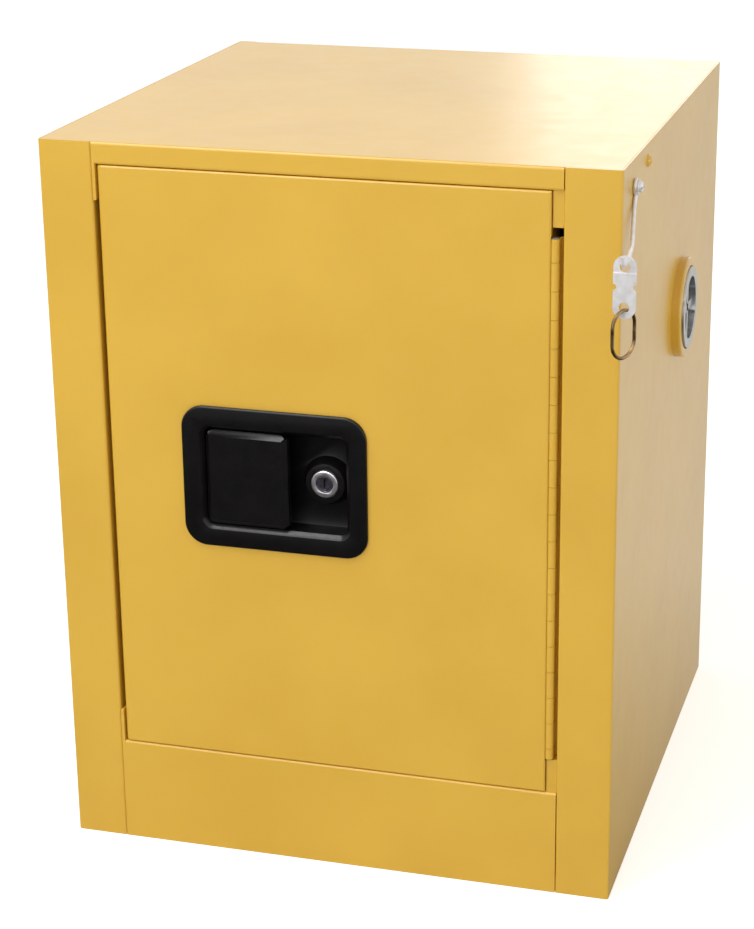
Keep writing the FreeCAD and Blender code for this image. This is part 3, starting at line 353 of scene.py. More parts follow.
@dataclass(frozen=True)
class BrightChrome:
    """Polished chrome with hairline wear."""

    tone: Triple = (0.95, 0.91, 0.93)
    worn: Triple = (0.86, 0.82, 0.84)
    cloud_scale: float = 900.0
    gloss_scale: float = 700.0
    gloss: Pair = (0.285, 0.38)
    hairline_scale: float = 3000.0
    hairline_height: float = 0.00001

    def build(self) -> bpy.types.Material:
        """Make the material.

        Returns:
            The material.
        """
        graph = Graph("bright_chrome")
        graph.set(Metallic=1.0)
        graph.feed("Base Color", graph.blend(graph.noise(self.cloud_scale, 2.0), self.worn, self.tone))
        graph.feed("Roughness", graph.remap(graph.noise(self.gloss_scale, 4.0), *self.gloss))
        graph.bump(graph.noise(self.hairline_scale, 2.0), 0.08, self.hairline_height)
        return graph.material


@dataclass(frozen=True)
class RingMetal:
    """Dull bronze-brown metal of the ring."""

    tone: Triple = (0.4, 0.27, 0.13)
    dark: Triple = (0.17, 0.1, 0.05)
    cloud_scale: float = 160.0
    gloss_scale: float = 400.0
    gloss: Pair = (0.29, 0.45)

    def build(self) -> bpy.types.Material:
        """Make the material.

        Returns:
            The material.
        """
        graph = Graph("ring_metal")
        graph.set(Metallic=1.0)
        graph.feed("Base Color", graph.blend(graph.noise(self.cloud_scale, 3.0), self.dark, self.tone))
        graph.feed("Roughness", graph.remap(graph.noise(self.gloss_scale, 3.0), *self.gloss))
        return graph.material


@dataclass(frozen=True)
class SatinNickel:
    """Pale satin nickel of the hanging link, with faint handling marks."""

    tone: Triple = (0.88, 0.86, 0.87)
    dull: Triple = (0.76, 0.74, 0.75)
    cloud_scale: float = 220.0
    gloss_scale: float = 350.0
    gloss: Pair = (0.38, 0.5)
    grain_scale: float = 1600.0
    grain_height: float = 0.00001

    def build(self) -> bpy.types.Material:
        """Make the material.

        Returns:
            The material.
        """
        graph = Graph("satin_nickel")
        graph.set(Metallic=0.45)
        graph.feed("Base Color", graph.blend(graph.noise(self.cloud_scale, 3.0), self.dull, self.tone))
        graph.feed("Roughness", graph.remap(graph.noise(self.gloss_scale, 2.0), *self.gloss))
        graph.bump(graph.noise(self.grain_scale, 1.0), 0.1, self.grain_height)
        return graph.material


@dataclass(frozen=True)
class ShadedLockChrome:
    """Chrome darkened for the lock's turning plug: painted shade on the plug's face, which is darker than
    the ring.
    """

    # Both tones are chrome darkened as painted shade; the noise between them is random tone.
    tone: Triple = (0.2, 0.18, 0.22)
    dull: Triple = (0.11, 0.1, 0.13)
    cloud_scale: float = 500.0
    gloss_scale: float = 900.0
    gloss: Pair = (0.3, 0.42)

    def build(self) -> bpy.types.Material:
        """Make the material.

        Returns:
            The material.
        """
        graph = Graph("shaded_lock_chrome")
        graph.set(Metallic=1.0)
        graph.feed("Base Color", graph.blend(graph.noise(self.cloud_scale, 3.0), self.dull, self.tone))
        graph.feed("Roughness", graph.remap(graph.noise(self.gloss_scale, 2.0), *self.gloss))
        return graph.material


@dataclass(frozen=True)
class GasketRubber:
    """Matte black rubber."""

    tone: Triple = (0.025, 0.025, 0.026)
    dusty: Triple = (0.04, 0.04, 0.04)
    cloud_scale: float = 200.0
    gloss_scale: float = 500.0
    gloss: Pair = (0.7, 0.85)
    grain_scale: float = 1500.0
    grain_height: float = 0.00004

    def build(self) -> bpy.types.Material:
        """Make the material.

        Returns:
            The material.
        """
        graph = Graph("gasket_rubber")
        graph.feed("Base Color", graph.blend(graph.noise(self.cloud_scale, 3.0), self.tone, self.dusty))
        graph.feed("Roughness", graph.remap(graph.noise(self.gloss_scale, 2.0), *self.gloss))
        graph.bump(graph.noise(self.grain_scale, 2.0), 0.3, self.grain_height)
        return graph.material


class Palette:
    """All the finishes, each built once."""

    link_nodes = ("link_upper_plate", "link_lower_plate", "link_arm", "anchor_screw")
    makers = {
        Finish.POWDER_COAT: PowderCoat(),
        Finish.ZINC: ZincPlate(),
        Finish.PLAIN_STEEL: PlainSheet(),
        Finish.BLACK_MOULDING: BlackMoulding(),
        Finish.CHROME: BrightChrome(),
        Finish.RING_METAL: RingMetal(),
        Finish.GASKET: GasketRubber(),
    }

    def __init__(self) -> None:
        """Build every finish."""
        self.materials = {finish: maker.build() for finish, maker in self.makers.items()}
        self.nickel = SatinNickel().build()
        # The lock plug gets a darker copy of the chrome: painted shade.
        self.shaded_lock_chrome = ShadedLockChrome().build()

    def paint(self, obj: bpy.types.Object, finish: Finish) -> None:
        """Give one object one finish on all its slots.

        Args:
            obj: Object to paint.
            finish: Its finish.
        """
        if not obj.material_slots:
            obj.data.materials.append(self.materials[finish])
        for slot in obj.material_slots:
            slot.material = self.materials[finish]

    def dress_frame(self, frame: dict) -> None:
        """Paint every carried-over node by the record's slots.
        """
        for part in frame["record"]["subparts"]:
            self.paint(frame["nodes"][part["node"]], Finish(part["material_slot"]))
        for name in self.link_nodes:
            self.recoat(frame["nodes"][name], self.nickel)

    @staticmethod
    def recoat(obj: bpy.types.Object, material: bpy.types.Material) -> None:
        """Put a variant of a finish on all of an object's slots."""
        for slot in obj.material_slots:
            slot.material = material


class Maker:
    """Modelling steps on the operators, as by hand."""

    @staticmethod
    def clear() -> None:
        """Leave edit mode and deselect everything."""
        if bpy.context.object and bpy.context.object.mode != "OBJECT":
            bpy.ops.object.mode_set(mode="OBJECT")
        bpy.ops.object.select_all(action="DESELECT")

    @classmethod
    def focus(cls, obj: bpy.types.Object) -> None:
        """Make an object the only one selected, and the active one.

        Args:
            obj: The object.
        """
        cls.clear()
        bpy.context.view_layer.objects.active = obj
        obj.select_set(True)

    @staticmethod
    def stand(base: Triple, axis: Triple, length: float) -> tuple[Vector, Euler]:
        """Place and turn of a round piece that stands on a point.

        Args:
            base: Middle of its lower end in millimetres.
            axis: Unit direction of its length.
            length: Length in millimetres.

        Returns:
            Its middle in metres and its rotation.
        """
        direction = Vector(axis)
        turn = Vector(UPWARD).rotation_difference(direction).to_euler()
        return (Vector(base) + direction * length / 2) * MM, turn

    @staticmethod
    def name(name: str) -> bpy.types.Object:
        """Name the object just added and freeze its place into its mesh.

        Args:
            name: The piece's name.

        Returns:
            The object.
        """
        obj = bpy.context.object
        obj.name = name
        obj.data.name = name
        bpy.ops.object.transform_apply(location=True, rotation=True, scale=True)
        return obj

    @classmethod
    def block(cls, name: str, low: Triple, high: Triple) -> bpy.types.Object:
        """Block between two corners.

        Args:
            name: The piece's name.
            low: Lowest corner in millimetres.
            high: Highest corner in millimetres.

        Returns:
            The object.
        """
        cls.clear()
        centre = [(a + b) / 2 * MM for a, b in zip(low, high)]
        bpy.ops.mesh.primitive_cube_add(size=1.0, location=centre)
        bpy.context.object.scale = [(b - a) * MM for a, b in zip(low, high)]
        return cls.name(name)

    @classmethod
    def disc(cls, name: str, base: Triple, axis: Triple, radius: float,
             length: float, sides: int = 96) -> bpy.types.Object:
        """Round bar standing on a point along an axis.

        Args:
            name: The piece's name.
            base: Middle of its lower end in millimetres.
            axis: Unit direction of its length.
            radius: Radius in millimetres.
            length: Length in millimetres.
            sides: Facets round it.

        Returns:
            The object.
        """
        cls.clear()
        centre, turn = cls.stand(base, axis, length)
        bpy.ops.mesh.primitive_cylinder_add(vertices=sides, radius=radius * MM, depth=length * MM,
                                            location=centre, rotation=turn)
        return cls.name(name)

    @classmethod
    def cone(cls, name: str, base: Triple, axis: Triple, first: float,
             last: float, length: float, sides: int = 96) -> bpy.types.Object:
        """Blunt cone standing on a point along an axis.

        Args:
            name: The piece's name.
            base: Middle of its first end in millimetres.
            axis: Unit direction of its length.
            first: Radius at the first end.
            last: Radius at the other end.
            length: Length in millimetres.
            sides: Facets round it.

        Returns:
            The object.
        """
        cls.clear()
        centre, turn = cls.stand(base, axis, length)
        bpy.ops.mesh.primitive_cone_add(vertices=sides, radius1=first * MM, radius2=last * MM,
                                        depth=length * MM, location=centre, rotation=turn)
        return cls.name(name)

    @classmethod
    def slice(cls, obj: bpy.types.Object, point: Triple,
              normal: Triple) -> None:
        """Cut off what lies beyond a plane and close the cut.

        Args:
            obj: Object to cut.
            point: Point on the plane in millimetres.
            normal: Direction of the side that goes.
        """
        cls.focus(obj)
        bpy.ops.object.mode_set(mode="EDIT")
        bpy.ops.mesh.select_all(action="SELECT")
        bpy.ops.mesh.bisect(plane_co=[v * MM for v in point], plane_no=normal, use_fill=True,
                            clear_outer=True)
        bpy.ops.object.mode_set(mode="OBJECT")

    @staticmethod
    def pick(obj: bpy.types.Object, kind: str, test: Callable[[Vector, Vector], bool]) -> None:
        """Select the faces or edges whose middle passes a test, and leave edit mode on.

        Args:
            obj: Object to edit.
            kind: FACE or EDGE.
            test: Function of the middle point in millimetres, and a face's normal or an edge's direction.
        """
        Maker.focus(obj)
        bpy.ops.object.mode_set(mode="EDIT")
        bpy.ops.mesh.select_mode(type=kind)
        bpy.ops.mesh.select_all(action="DESELECT")
        bpy.ops.object.mode_set(mode="OBJECT")
        mesh = obj.data
        if kind == "FACE":
            for face in mesh.polygons:
                face.select = bool(test(face.center / MM, face.normal))
        else:
            for edge in mesh.edges:
                a, b = (mesh.vertices[i].co for i in edge.vertices)
                edge.select = bool(test((a + b) / 2 / MM, (b - a).normalized()))
        bpy.ops.object.mode_set(mode="EDIT")

    @staticmethod
    def inset(thickness: float, depth: float = 0.0) -> None:
        """Inset the picked faces, with a push along their normal, in millimetres."""
        bpy.ops.mesh.inset(thickness=thickness * MM, depth=depth * MM)

    @staticmethod
    def push(vector: Triple) -> None:
        """Extrude the picked faces by a vector in millimetres."""
        bpy.ops.mesh.extrude_region_move(TRANSFORM_OT_translate={"value": [v * MM for v in vector]})

    @staticmethod
    def done() -> None:
        """Leave edit mode."""
        bpy.ops.object.mode_set(mode="OBJECT")

    @classmethod
    def round_edges(cls, obj: bpy.types.Object, width: float, steps: int,
                    test: Callable[[Vector, Vector], bool]) -> None:
        """Bevel the edges that pass a test.

        Args:
            obj: Object to edit.
            width: Width of the bevel in millimetres.
            steps: Steps of the rounding, with 1 for a plain chamfer.
            test: Function of an edge's middle point in millimetres and its direction.
        """
        cls.pick(obj, "EDGE", test)
        bpy.ops.mesh.bevel(offset=width * MM, segments=steps, affect="EDGES")
        cls.done()

    @staticmethod
    def soften(obj: bpy.types.Object, width: float, segments: int = 3, angle: float = 35.0) -> None:
        """Round all edges sharper than an angle and smooth the shading.

        Args:
            obj: Object to round.
            width: Radius in millimetres.
            segments: Steps of the rounding.
            angle: Least angle in degrees.
        """
        Maker.focus(obj)
        bevel = obj.modifiers.new("edge", "BEVEL")
        bevel.width = width * MM
        bevel.segments = segments
        bevel.limit_method = "ANGLE"
        bevel.angle_limit = math.radians(angle)
        bpy.ops.object.modifier_apply(modifier=bevel.name)
        Maker.smooth(obj)

    @staticmethod
    def smooth(obj: bpy.types.Object) -> None:
        """Smooth the shading of an object over its blunt edges."""
        Maker.focus(obj)
        bpy.ops.object.shade_smooth_by_angle(angle=math.radians(SMOOTH_ANGLE))

    @staticmethod
    def carve(obj: bpy.types.Object, tool: bpy.types.Object, operation: str = "DIFFERENCE") -> None:
        """Cut one object with another, or join them, and delete the tool.

        Args:
            obj: Object that stays.
            tool: Object that is used up.
            operation: DIFFERENCE, UNION or INTERSECT.
        """
        Maker.focus(obj)
        modifier = obj.modifiers.new("cut", "BOOLEAN")
        modifier.operation = operation
        modifier.object = tool
        modifier.solver = "EXACT"
        bpy.ops.object.modifier_apply(modifier=modifier.name)
        bpy.data.objects.remove(tool, do_unlink=True)


class Piece:
    """Finished piece: its finish, the body it rides on and the nodes it stands for."""

    @staticmethod
    def place(obj: bpy.types.Object, palette: Palette, finish: Finish, body: str, *nodes: str) -> None:
        """Paint a piece and tie it to the frame.

        Args:
            obj: The piece.
            palette: All the finishes.
            finish: Its finish.
            body: Body that carries it.
            nodes: Nodes that it stands for.
        """
        palette.paint(obj, finish)
        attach(obj, body)
        if nodes:
            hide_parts(*nodes)
        LOG.info("piece %s on %s", obj.name, body)


@dataclass
class LatchBezel:
    """Black moulded surround of the latch: flange, finger recess, lock boss, pin lugs and studs."""

    palette: Palette
    low: Pair = (-112.5, 257.0)
    high: Pair = (30.5, 367.0)
    face: float = -217.5
    back: float = -215.0
    corner: float = 17.5
    rim_round: float = 1.4
    edge_round: float = 0.5
    overlap: float = 0.5
    recess_low: Pair = (-95.2, 274.0)
    recess_high: Pair = (14.5, 349.6)
    recess_floor: float = -197.5
    recess_corner: float = 6.0
    wall: float = 2.0
    lip: float = 3.3
    boss_centre: Pair = LOCK_CENTRE
    boss_face: float = LOCK_BOSS_FACE
    boss_radius: float = 15.0
    boss_foot: float = 19.0
    barrel_radius: float = LOCK_BARREL_RADIUS
    barrel_room: float = 20.0
    pivot: Pair = PADDLE_PIVOT
    lugs: tuple[Pair, ...] = LATCH_LUGS
    lug_half: Pair = (3.0, 2.5)
    pin_bore_radius: float = 1.5
    slot: Pair = (ARM_HEIGHT, 4.0)
    slot_half_length: float = 7.0
    stud_inset: float = 7.5
    stud_radius: float = 2.0
    stud_end: float = -203.0

    def build(self) -> None:
        """Model the surround."""
        bezel = self.plate("latch_bezel", self.low, self.high, self.face, self.back, self.corner)
        self.crown(bezel)
        outer_low = tuple(v - self.wall for v in self.recess_low)
        outer_high = tuple(v + self.wall for v in self.recess_high)
        shell = self.plate("shell", outer_low, outer_high, self.back - self.overlap,
                           self.recess_floor + self.wall, self.recess_corner + self.wall)
        Maker.carve(bezel, shell, "UNION")
        hollow = self.plate("hollow", self.recess_low, self.recess_high, self.face - 2, self.recess_floor,
                            self.recess_corner)
        Maker.carve(bezel, hollow)
        self.chamfer_lip(bezel)
        self.add_boss(bezel)
        self.add_lugs(bezel)
        self.cut_slot(bezel)
        self.add_studs(bezel)
        Maker.soften(bezel, self.edge_round, 2, 40.0)
        Piece.place(bezel, self.palette, Finish.BLACK_MOULDING, "door", "latch_pan")

    @staticmethod
    def plate(name: str, low: tuple[float, ...], high: tuple[float, ...], front: float, back: float,
              corner: float) -> bpy.types.Object:
        """Upright plate with rounded corners.

        Args:
            name: The object's name.
            low: Lowest x and z.
            high: Highest x and z.
            front: Its front face's y.
            back: Its back face's y.
            corner: Radius of the corners.

        Returns:
            The plate.
        """
        obj = Maker.block(name, (low[0], front, low[1]), (high[0], back, high[1]))
        Maker.round_edges(obj, corner, CORNER_STEPS, lambda c, d: abs(d.y) > ALONG)
        return obj

    def crown(self, bezel: bpy.types.Object) -> None:
        """Round the flange's front rim."""
        Maker.round_edges(bezel, self.rim_round, 4, lambda c, d: c.y < self.face + NEAR)

    def chamfer_lip(self, bezel: bpy.types.Object) -> None:
        """Slope the rim of the recess.

        Args:
            bezel: The surround.
        """
        x0, z0 = (v - self.overlap for v in self.recess_low)
        x1, z1 = (v + self.overlap for v in self.recess_high)
        Maker.round_edges(bezel, self.lip, 1,
                          lambda c, d: c.y < self.face + NEAR and x0 < c.x < x1 and z0 < c.z < z1)

    def add_boss(self, bezel: bpy.types.Object) -> None:
        """Stand the lock's conical boss on the recess floor and bore it.

        Args:
            bezel: The surround.
        """
        x, z = self.boss_centre
        foot = self.recess_floor + self.wall / 2
        slope = (self.boss_foot - self.boss_radius) / (self.recess_floor - self.boss_face)
        boss = Maker.cone("boss", (x, self.boss_face, z), BACKWARD, self.boss_radius,
                          self.boss_radius + slope * (foot - self.boss_face), foot - self.boss_face)
        room = Maker.block("room", (self.recess_low[0], self.face, self.recess_low[1]),
                           (self.recess_high[0] + self.wall / 2, foot, self.recess_high[1]))
        Maker.carve(boss, room, "INTERSECT")
        Maker.carve(bezel, boss, "UNION")
        bore = Maker.disc("bore", (x, self.boss_face - 1, z), BACKWARD, self.barrel_radius,
                          self.barrel_room, 64)
        Maker.carve(bezel, bore)

    def add_lugs(self, bezel: bpy.types.Object) -> None:
        """Stand the two lugs that carry the paddle's pin.

        Args:
            bezel: The surround.
        """
        x, y = self.pivot
        wide, deep = self.lug_half
        for low, high in self.lugs:
            lug = Maker.block("lug", (x - wide, y - deep, low),
                              (x + wide, self.recess_floor + self.overlap, high))
            Maker.carve(bezel, lug, "UNION")
        bore = Maker.disc("pin_bore", (x, y, self.lugs[0][0] - 1), UPWARD, self.pin_bore_radius,
                          self.lugs[1][1] - self.lugs[0][0] + 2, 32)
        Maker.carve(bezel, bore)

    def cut_slot(self, bezel: bpy.types.Object) -> None:
        """Cut the arm's slot through the recess floor.

        Args:
            bezel: The surround.
        """
        z, half = self.slot
        x = self.pivot[0]
        reach = self.slot_half_length
        slot = Maker.block("slot", (x - reach, self.recess_floor - 1, z - half),
                           (x + reach, self.recess_floor + self.wall + 1, z + half))
        Maker.carve(bezel, slot)

    def add_studs(self, bezel: bpy.types.Object) -> None:
        """Stand the clamping studs behind the flange's corners.

        Args:
            bezel: The surround.
        """
        for x in (self.low[0] + self.stud_inset, self.high[0] - self.stud_inset):
            for z in (self.low[1] + self.stud_inset, self.high[1] - self.stud_inset):
                stud = Maker.disc("stud", (x, self.back - self.overlap, z), BACKWARD, self.stud_radius,
                                  self.stud_end - self.back + self.overlap, 32)
                Maker.carve(bezel, stud, "UNION")


@dataclass
class PaddleHandle:
    """Black pull plate with sloped edges, finger grip, hinge barrel and driving arm."""

    palette: Palette
    left: float = -94.3
    right: float = -30.5
    bottom: float = 274.9
    top: float = 348.7
    face: float = -218.5
    thickness: float = 5.0
    corner: float = 7.0
    slope_depth: float = 4.0
    slopes: tuple[float, float, float, float] = (5.6, 7.0, 3.4, 4.2)
    back_rim: float = 2.2
    back_sink: float = 1.4
    grip_width: float = 4.0
    grip_reach: Pair = (2.0, 4.0)
    grip_margin: float = 3.0
    pivot: Pair = PADDLE_PIVOT
    lugs: tuple[Pair, ...] = LATCH_LUGS
    lug_gap: float = 0.4
    lug_room_radius: float = 4.4
    barrel_radius: float = 3.4
    pin_radius: float = 1.85
    pin_bore: Pair = (285.0, 54.0)
    web_half: float = 2.4
    web_depth: float = 3.0
    arm_height: float = ARM_HEIGHT
    arm_reach: float = 26.5
    arm_half: Pair = (2.0, 3.0)
    arm_round: float = 1.9
    arm_lean: float = 14.0

    def build(self) -> None:
        """Model the plate and its works."""
        plate = LatchBezel.plate("paddle_plate", (self.left, self.bottom), (self.right, self.top), self.face,
                                 self.face + self.thickness, self.corner)
        self.slope(plate)
        self.hollow_back(plate)
        self.add_barrel(plate)
        self.add_arm(plate)
        self.clear_lugs(plate)
        Maker.soften(plate, 0.45, 3, 25.0)
        Piece.place(plate, self.palette, Finish.BLACK_MOULDING, "paddle_body", "paddle")

    def slope(self, plate: bpy.types.Object) -> None:
        """Cut the four front slopes with planes.

        Args:
            plate: The paddle's plate.
        """
        left, right, low, high = self.slopes
        foot = self.face + self.slope_depth
        for point, normal in (
                ((self.left, foot, 0), (-self.slope_depth, -left, 0)),
                ((self.right, foot, 0), (self.slope_depth, -right, 0)),
                ((0, foot, self.bottom), (0, -low, -self.slope_depth)),
                ((0, foot, self.top), (0, -high, self.slope_depth))):
            Maker.slice(plate, point, normal)

    def hollow_back(self, plate: bpy.types.Object) -> None:
        """Sink the plate's back inside a rim and stand the finger grip on it.

        Args:
            plate: The paddle's plate.
        """
        Maker.pick(plate, "FACE", lambda c, n: n.y > ALONG)
        Maker.inset(self.back_rim)
        Maker.push((0, -self.back_sink, 0))
        Maker.done()
        back = self.face + self.thickness
        sunk, out = self.grip_reach
        low = (self.right - self.grip_width, back - sunk, self.bottom + self.grip_margin)
        grip = Maker.block("grip", low, (self.right, back + out, self.top - self.grip_margin))
        Maker.carve(plate, grip, "UNION")

    def add_barrel(self, plate: bpy.types.Object) -> None:
        """Barrel on the pin and the web that joins it to the plate.

        Args:
            plate: The paddle's plate.
        """
        x, y = self.pivot
        low = self.lugs[0][1] + self.lug_gap
        high = self.lugs[1][0] - self.lug_gap
        web = Maker.block("web", (x - self.web_half, self.face + self.web_depth, low),
                          (x + self.barrel_radius, y, high))
        Maker.carve(plate, web, "UNION")
        barrel = Maker.disc("barrel", (x, y, low), UPWARD, self.barrel_radius, high - low, 48)
        Maker.carve(plate, barrel, "UNION")

    def add_arm(self, plate: bpy.types.Object) -> None:
        """Arm that reaches back through the slot to the bolt.

        Args:
            plate: The paddle's plate.
        """
        x, y = self.pivot
        thick, tall = self.arm_half
        arm = Maker.block("arm", (-thick, 0, -tall), (thick, self.arm_reach, tall))
        Maker.round_edges(arm, self.arm_round, 6,
                          lambda c, d: c.y > self.arm_reach - 0.1 and abs(d.z) > ALONG)
        arm.rotation_euler = (0, 0, math.radians(self.arm_lean))
        arm.location = (x * MM, y * MM, self.arm_height * MM)
        bpy.ops.object.transform_apply(location=True, rotation=True, scale=True)
        Maker.carve(plate, arm, "UNION")

    def clear_lugs(self, plate: bpy.types.Object) -> None:
        """Free the pan's lugs and bore the barrel for its pin.

        Args:
            plate: The paddle's plate.
        """
        x, y = self.pivot
        for low, high in self.lugs:
            room = Maker.disc("room", (x, y, low - self.lug_gap), UPWARD, self.lug_room_radius,
                              high - low + 2 * self.lug_gap, 48)
            Maker.carve(plate, room)
        start, length = self.pin_bore
        bore = Maker.disc("bore", (x, y, start), UPWARD, self.pin_radius, length, 32)
        Maker.carve(plate, bore)


@dataclass
class KeyLock:
    """Key lock: bright rounded ring with its housing, and the turning plug with a keyway."""

    palette: Palette
    centre: Pair = LOCK_CENTRE
    ring_face: float = -208.5
    ring_round: float = 1.1
    boss_face: float = LOCK_BOSS_FACE
    ring_radius: float = 10.6
    barrel_radius: float = LOCK_BARREL_RADIUS
    plug_radius: float = 6.2
    plug_face: float = -208.0
    gap: float = 0.35
    barrel_end: float = -189.5
    overlap: float = 0.3
    keyway_half: Pair = (0.8, 4.0)
    keyway_depth: float = 3.0
    keyway_round: float = 0.6
    tail_half: float = 2.5
    tail_length: float = 3.5

    def build(self) -> None:
        """Model the housing and the plug."""
        x, z = self.centre
        housing = Maker.disc("lock_housing", (x, self.ring_face, z), BACKWARD, self.ring_radius,
                             self.boss_face - self.ring_face, 96)
        Maker.round_edges(housing, self.ring_round, 5, lambda c, d: c.y < self.ring_face + 0.1)
        barrel = Maker.disc("barrel", (x, self.boss_face - self.overlap, z), BACKWARD, self.barrel_radius,
                            self.barrel_end - self.boss_face + self.overlap, 64)
        Maker.carve(housing, barrel, "UNION")
        bore = Maker.disc("bore", (x, self.ring_face - 1, z), BACKWARD, self.plug_radius + self.gap,
                          self.barrel_end - self.ring_face + 2, 64)
        Maker.carve(housing, bore)
        Maker.soften(housing, 0.3, 2, 50.0)
        Piece.place(housing, self.palette, Finish.CHROME, "door", "lock_barrel")
        self.add_plug()

    def add_plug(self) -> None:
        """Turning plug with its sunk face, keyway and square tail."""
        x, z = self.centre
        end = self.barrel_end + 0.5
        plug = Maker.disc("lock_plug_face", (x, self.plug_face, z), BACKWARD, self.plug_radius,
                          end - self.plug_face, 64)
        Maker.pick(plug, "FACE", lambda c, n: n.y < -ALONG)
        Maker.inset(0.5)
        Maker.inset(0.3, -0.3)
        Maker.done()
        wide, tall = self.keyway_half
        keyway = Maker.block("keyway", (x - wide, self.plug_face - 1, z - tall),
                             (x + wide, self.plug_face + self.keyway_depth, z + tall))
        Maker.round_edges(keyway, self.keyway_round, 3, lambda c, d: abs(d.y) > ALONG)
        Maker.carve(plug, keyway)
        half = self.tail_half
        tail = Maker.block("tail", (x - half, end - 1, z - half),
                           (x + half, end + self.tail_length, z + half))
        Maker.carve(plug, tail, "UNION")
        Maker.soften(plug, 0.15, 2, 50.0)
        Piece.place(plug, self.palette, Finish.CHROME, "lock", "lock_plug")
        # The plug's chrome is swapped for a darker copy: painted shade on its face.
        self.palette.recoat(plug, self.palette.shaded_lock_chrome)


@dataclass
class BoltSpring:
    """Compression spring behind the bolt."""

    palette: Palette
    start: float = -80.45
    seat: float = -53.05
    centre: Pair = (-187.0, ARM_HEIGHT)
    coil_radius: float = 3.45
    wire_radius: float = 0.5
    wire_sides: int = 10
    turns: int = 8
    steps: int = 24
    run: float = 26.8
    kept: float = 0.564

    def build(self) -> None:
        """Wind the wire and hang it on the door."""
        Maker.clear()
        bpy.ops.mesh.primitive_circle_add(vertices=self.wire_sides, radius=self.wire_radius * MM,
                                          location=(0, self.coil_radius * MM, 0))
        spring = Maker.name("latch_spring")
        screw = spring.modifiers.new("wind", "SCREW")
        screw.axis = "X"
        screw.screw_offset = self.run / self.turns * MM
        screw.iterations = self.turns
        screw.steps = self.steps
        screw.render_steps = self.steps
        bpy.ops.object.modifier_apply(modifier=screw.name)
        bpy.ops.object.mode_set(mode="EDIT")
        bpy.ops.mesh.select_all(action="SELECT")
        bpy.ops.mesh.remove_doubles(threshold=0.01 * MM)
        bpy.ops.mesh.fill_holes(sides=0)
        bpy.ops.mesh.select_all(action="SELECT")
        bpy.ops.mesh.normals_make_consistent(inside=False)
        y, z = self.centre
        bpy.ops.transform.translate(value=(self.start * MM, y * MM, z * MM))
        Maker.done()
        Maker.smooth(spring)
        Piece.place(spring, self.palette, Finish.PLAIN_STEEL, "door", "bolt_spring")
        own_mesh(spring)


@dataclass
class VentPlug:
    """Screwed plug: rim, deep recess with a wrench cross, and a grooved body for its thread."""

    palette: Palette
    side: int
    body: str
    node: str
    centre: Pair
    rim_radius: float = 32.6
    rim_start: float = 220.0
    rim_end: float = 224.0
    recess_radius: float = 25.0
    recess_depth: float = 12.0
    core_radius: float = 28.75
    core_start: float = 206.0
    grooves: int = 5
    groove_start: float = 1.4
    groove_pitch: float = 2.2
    groove_width: float = 0.9
    groove_depth: float = 0.7
    bar_width: float = 6.0
    bar_face: float = 221.5
    bar_overlap: float = 0.4
    sides: int = 128

    def build(self) -> None:
        """Model the plug."""
        y, z = self.centre
        out = (float(self.side), 0.0, 0.0)
        rim = Maker.disc(self.body + "_rim", (self.side * self.core_start, y, z), out, self.core_radius,
                         self.rim_end - self.core_start, self.sides)
        flange = Maker.disc("flange", (self.side * self.rim_start, y, z), out, self.rim_radius,
                            self.rim_end - self.rim_start, self.sides)
        Maker.carve(rim, flange, "UNION")
        recess = Maker.disc("recess", (self.side * (self.rim_end - self.recess_depth), y, z), out,
                            self.recess_radius, self.recess_depth + 1, self.sides)
        Maker.carve(rim, recess)
        for step in range(self.grooves):
            start = self.core_start + self.groove_start + step * self.groove_pitch
            groove = Maker.disc("groove", (self.side * start, y, z), out, self.core_radius + 2,
                                self.groove_width, self.sides)
            keep = Maker.disc("keep", (self.side * (start - 1), y, z), out,
                              self.core_radius - self.groove_depth, 3.0, self.sides)
            Maker.carve(groove, keep)
            Maker.carve(rim, groove)
        half = self.bar_width / 2
        reach = self.recess_radius + self.bar_overlap
        floor = self.rim_end - self.recess_depth - self.bar_overlap
        ends = sorted((self.side * floor, self.side * self.bar_face))
        for low, high in (((ends[0], y - half, z - reach), (ends[1], y + half, z + reach)),
                          ((ends[0], y - reach, z - half), (ends[1], y + reach, z + half))):
            bar = Maker.block("bar", low, high)
            Maker.carve(rim, bar, "UNION")
        Maker.soften(rim, 0.8)
        Piece.place(rim, self.palette, Finish.ZINC, self.body, self.node)


@dataclass(frozen=True)
class Lamp:
    """Square area lamp: its place, what it points at, its size in metres and its power in watts."""

    name: str
    place: Triple
    target: Triple
    size: float
    power: float

    def build(self) -> None:
        """Hang the lamp and point it."""
        data = bpy.data.lights.new(self.name, "AREA")
        data.size = self.size
        data.energy = self.power
        lamp = bpy.data.objects.new(self.name, data)
        bpy.context.collection.objects.link(lamp)
        lamp.location = self.place
        aim = Vector(self.target) - Vector(self.place)
        lamp.rotation_euler = aim.to_track_quat("-Z", "Y").to_euler()


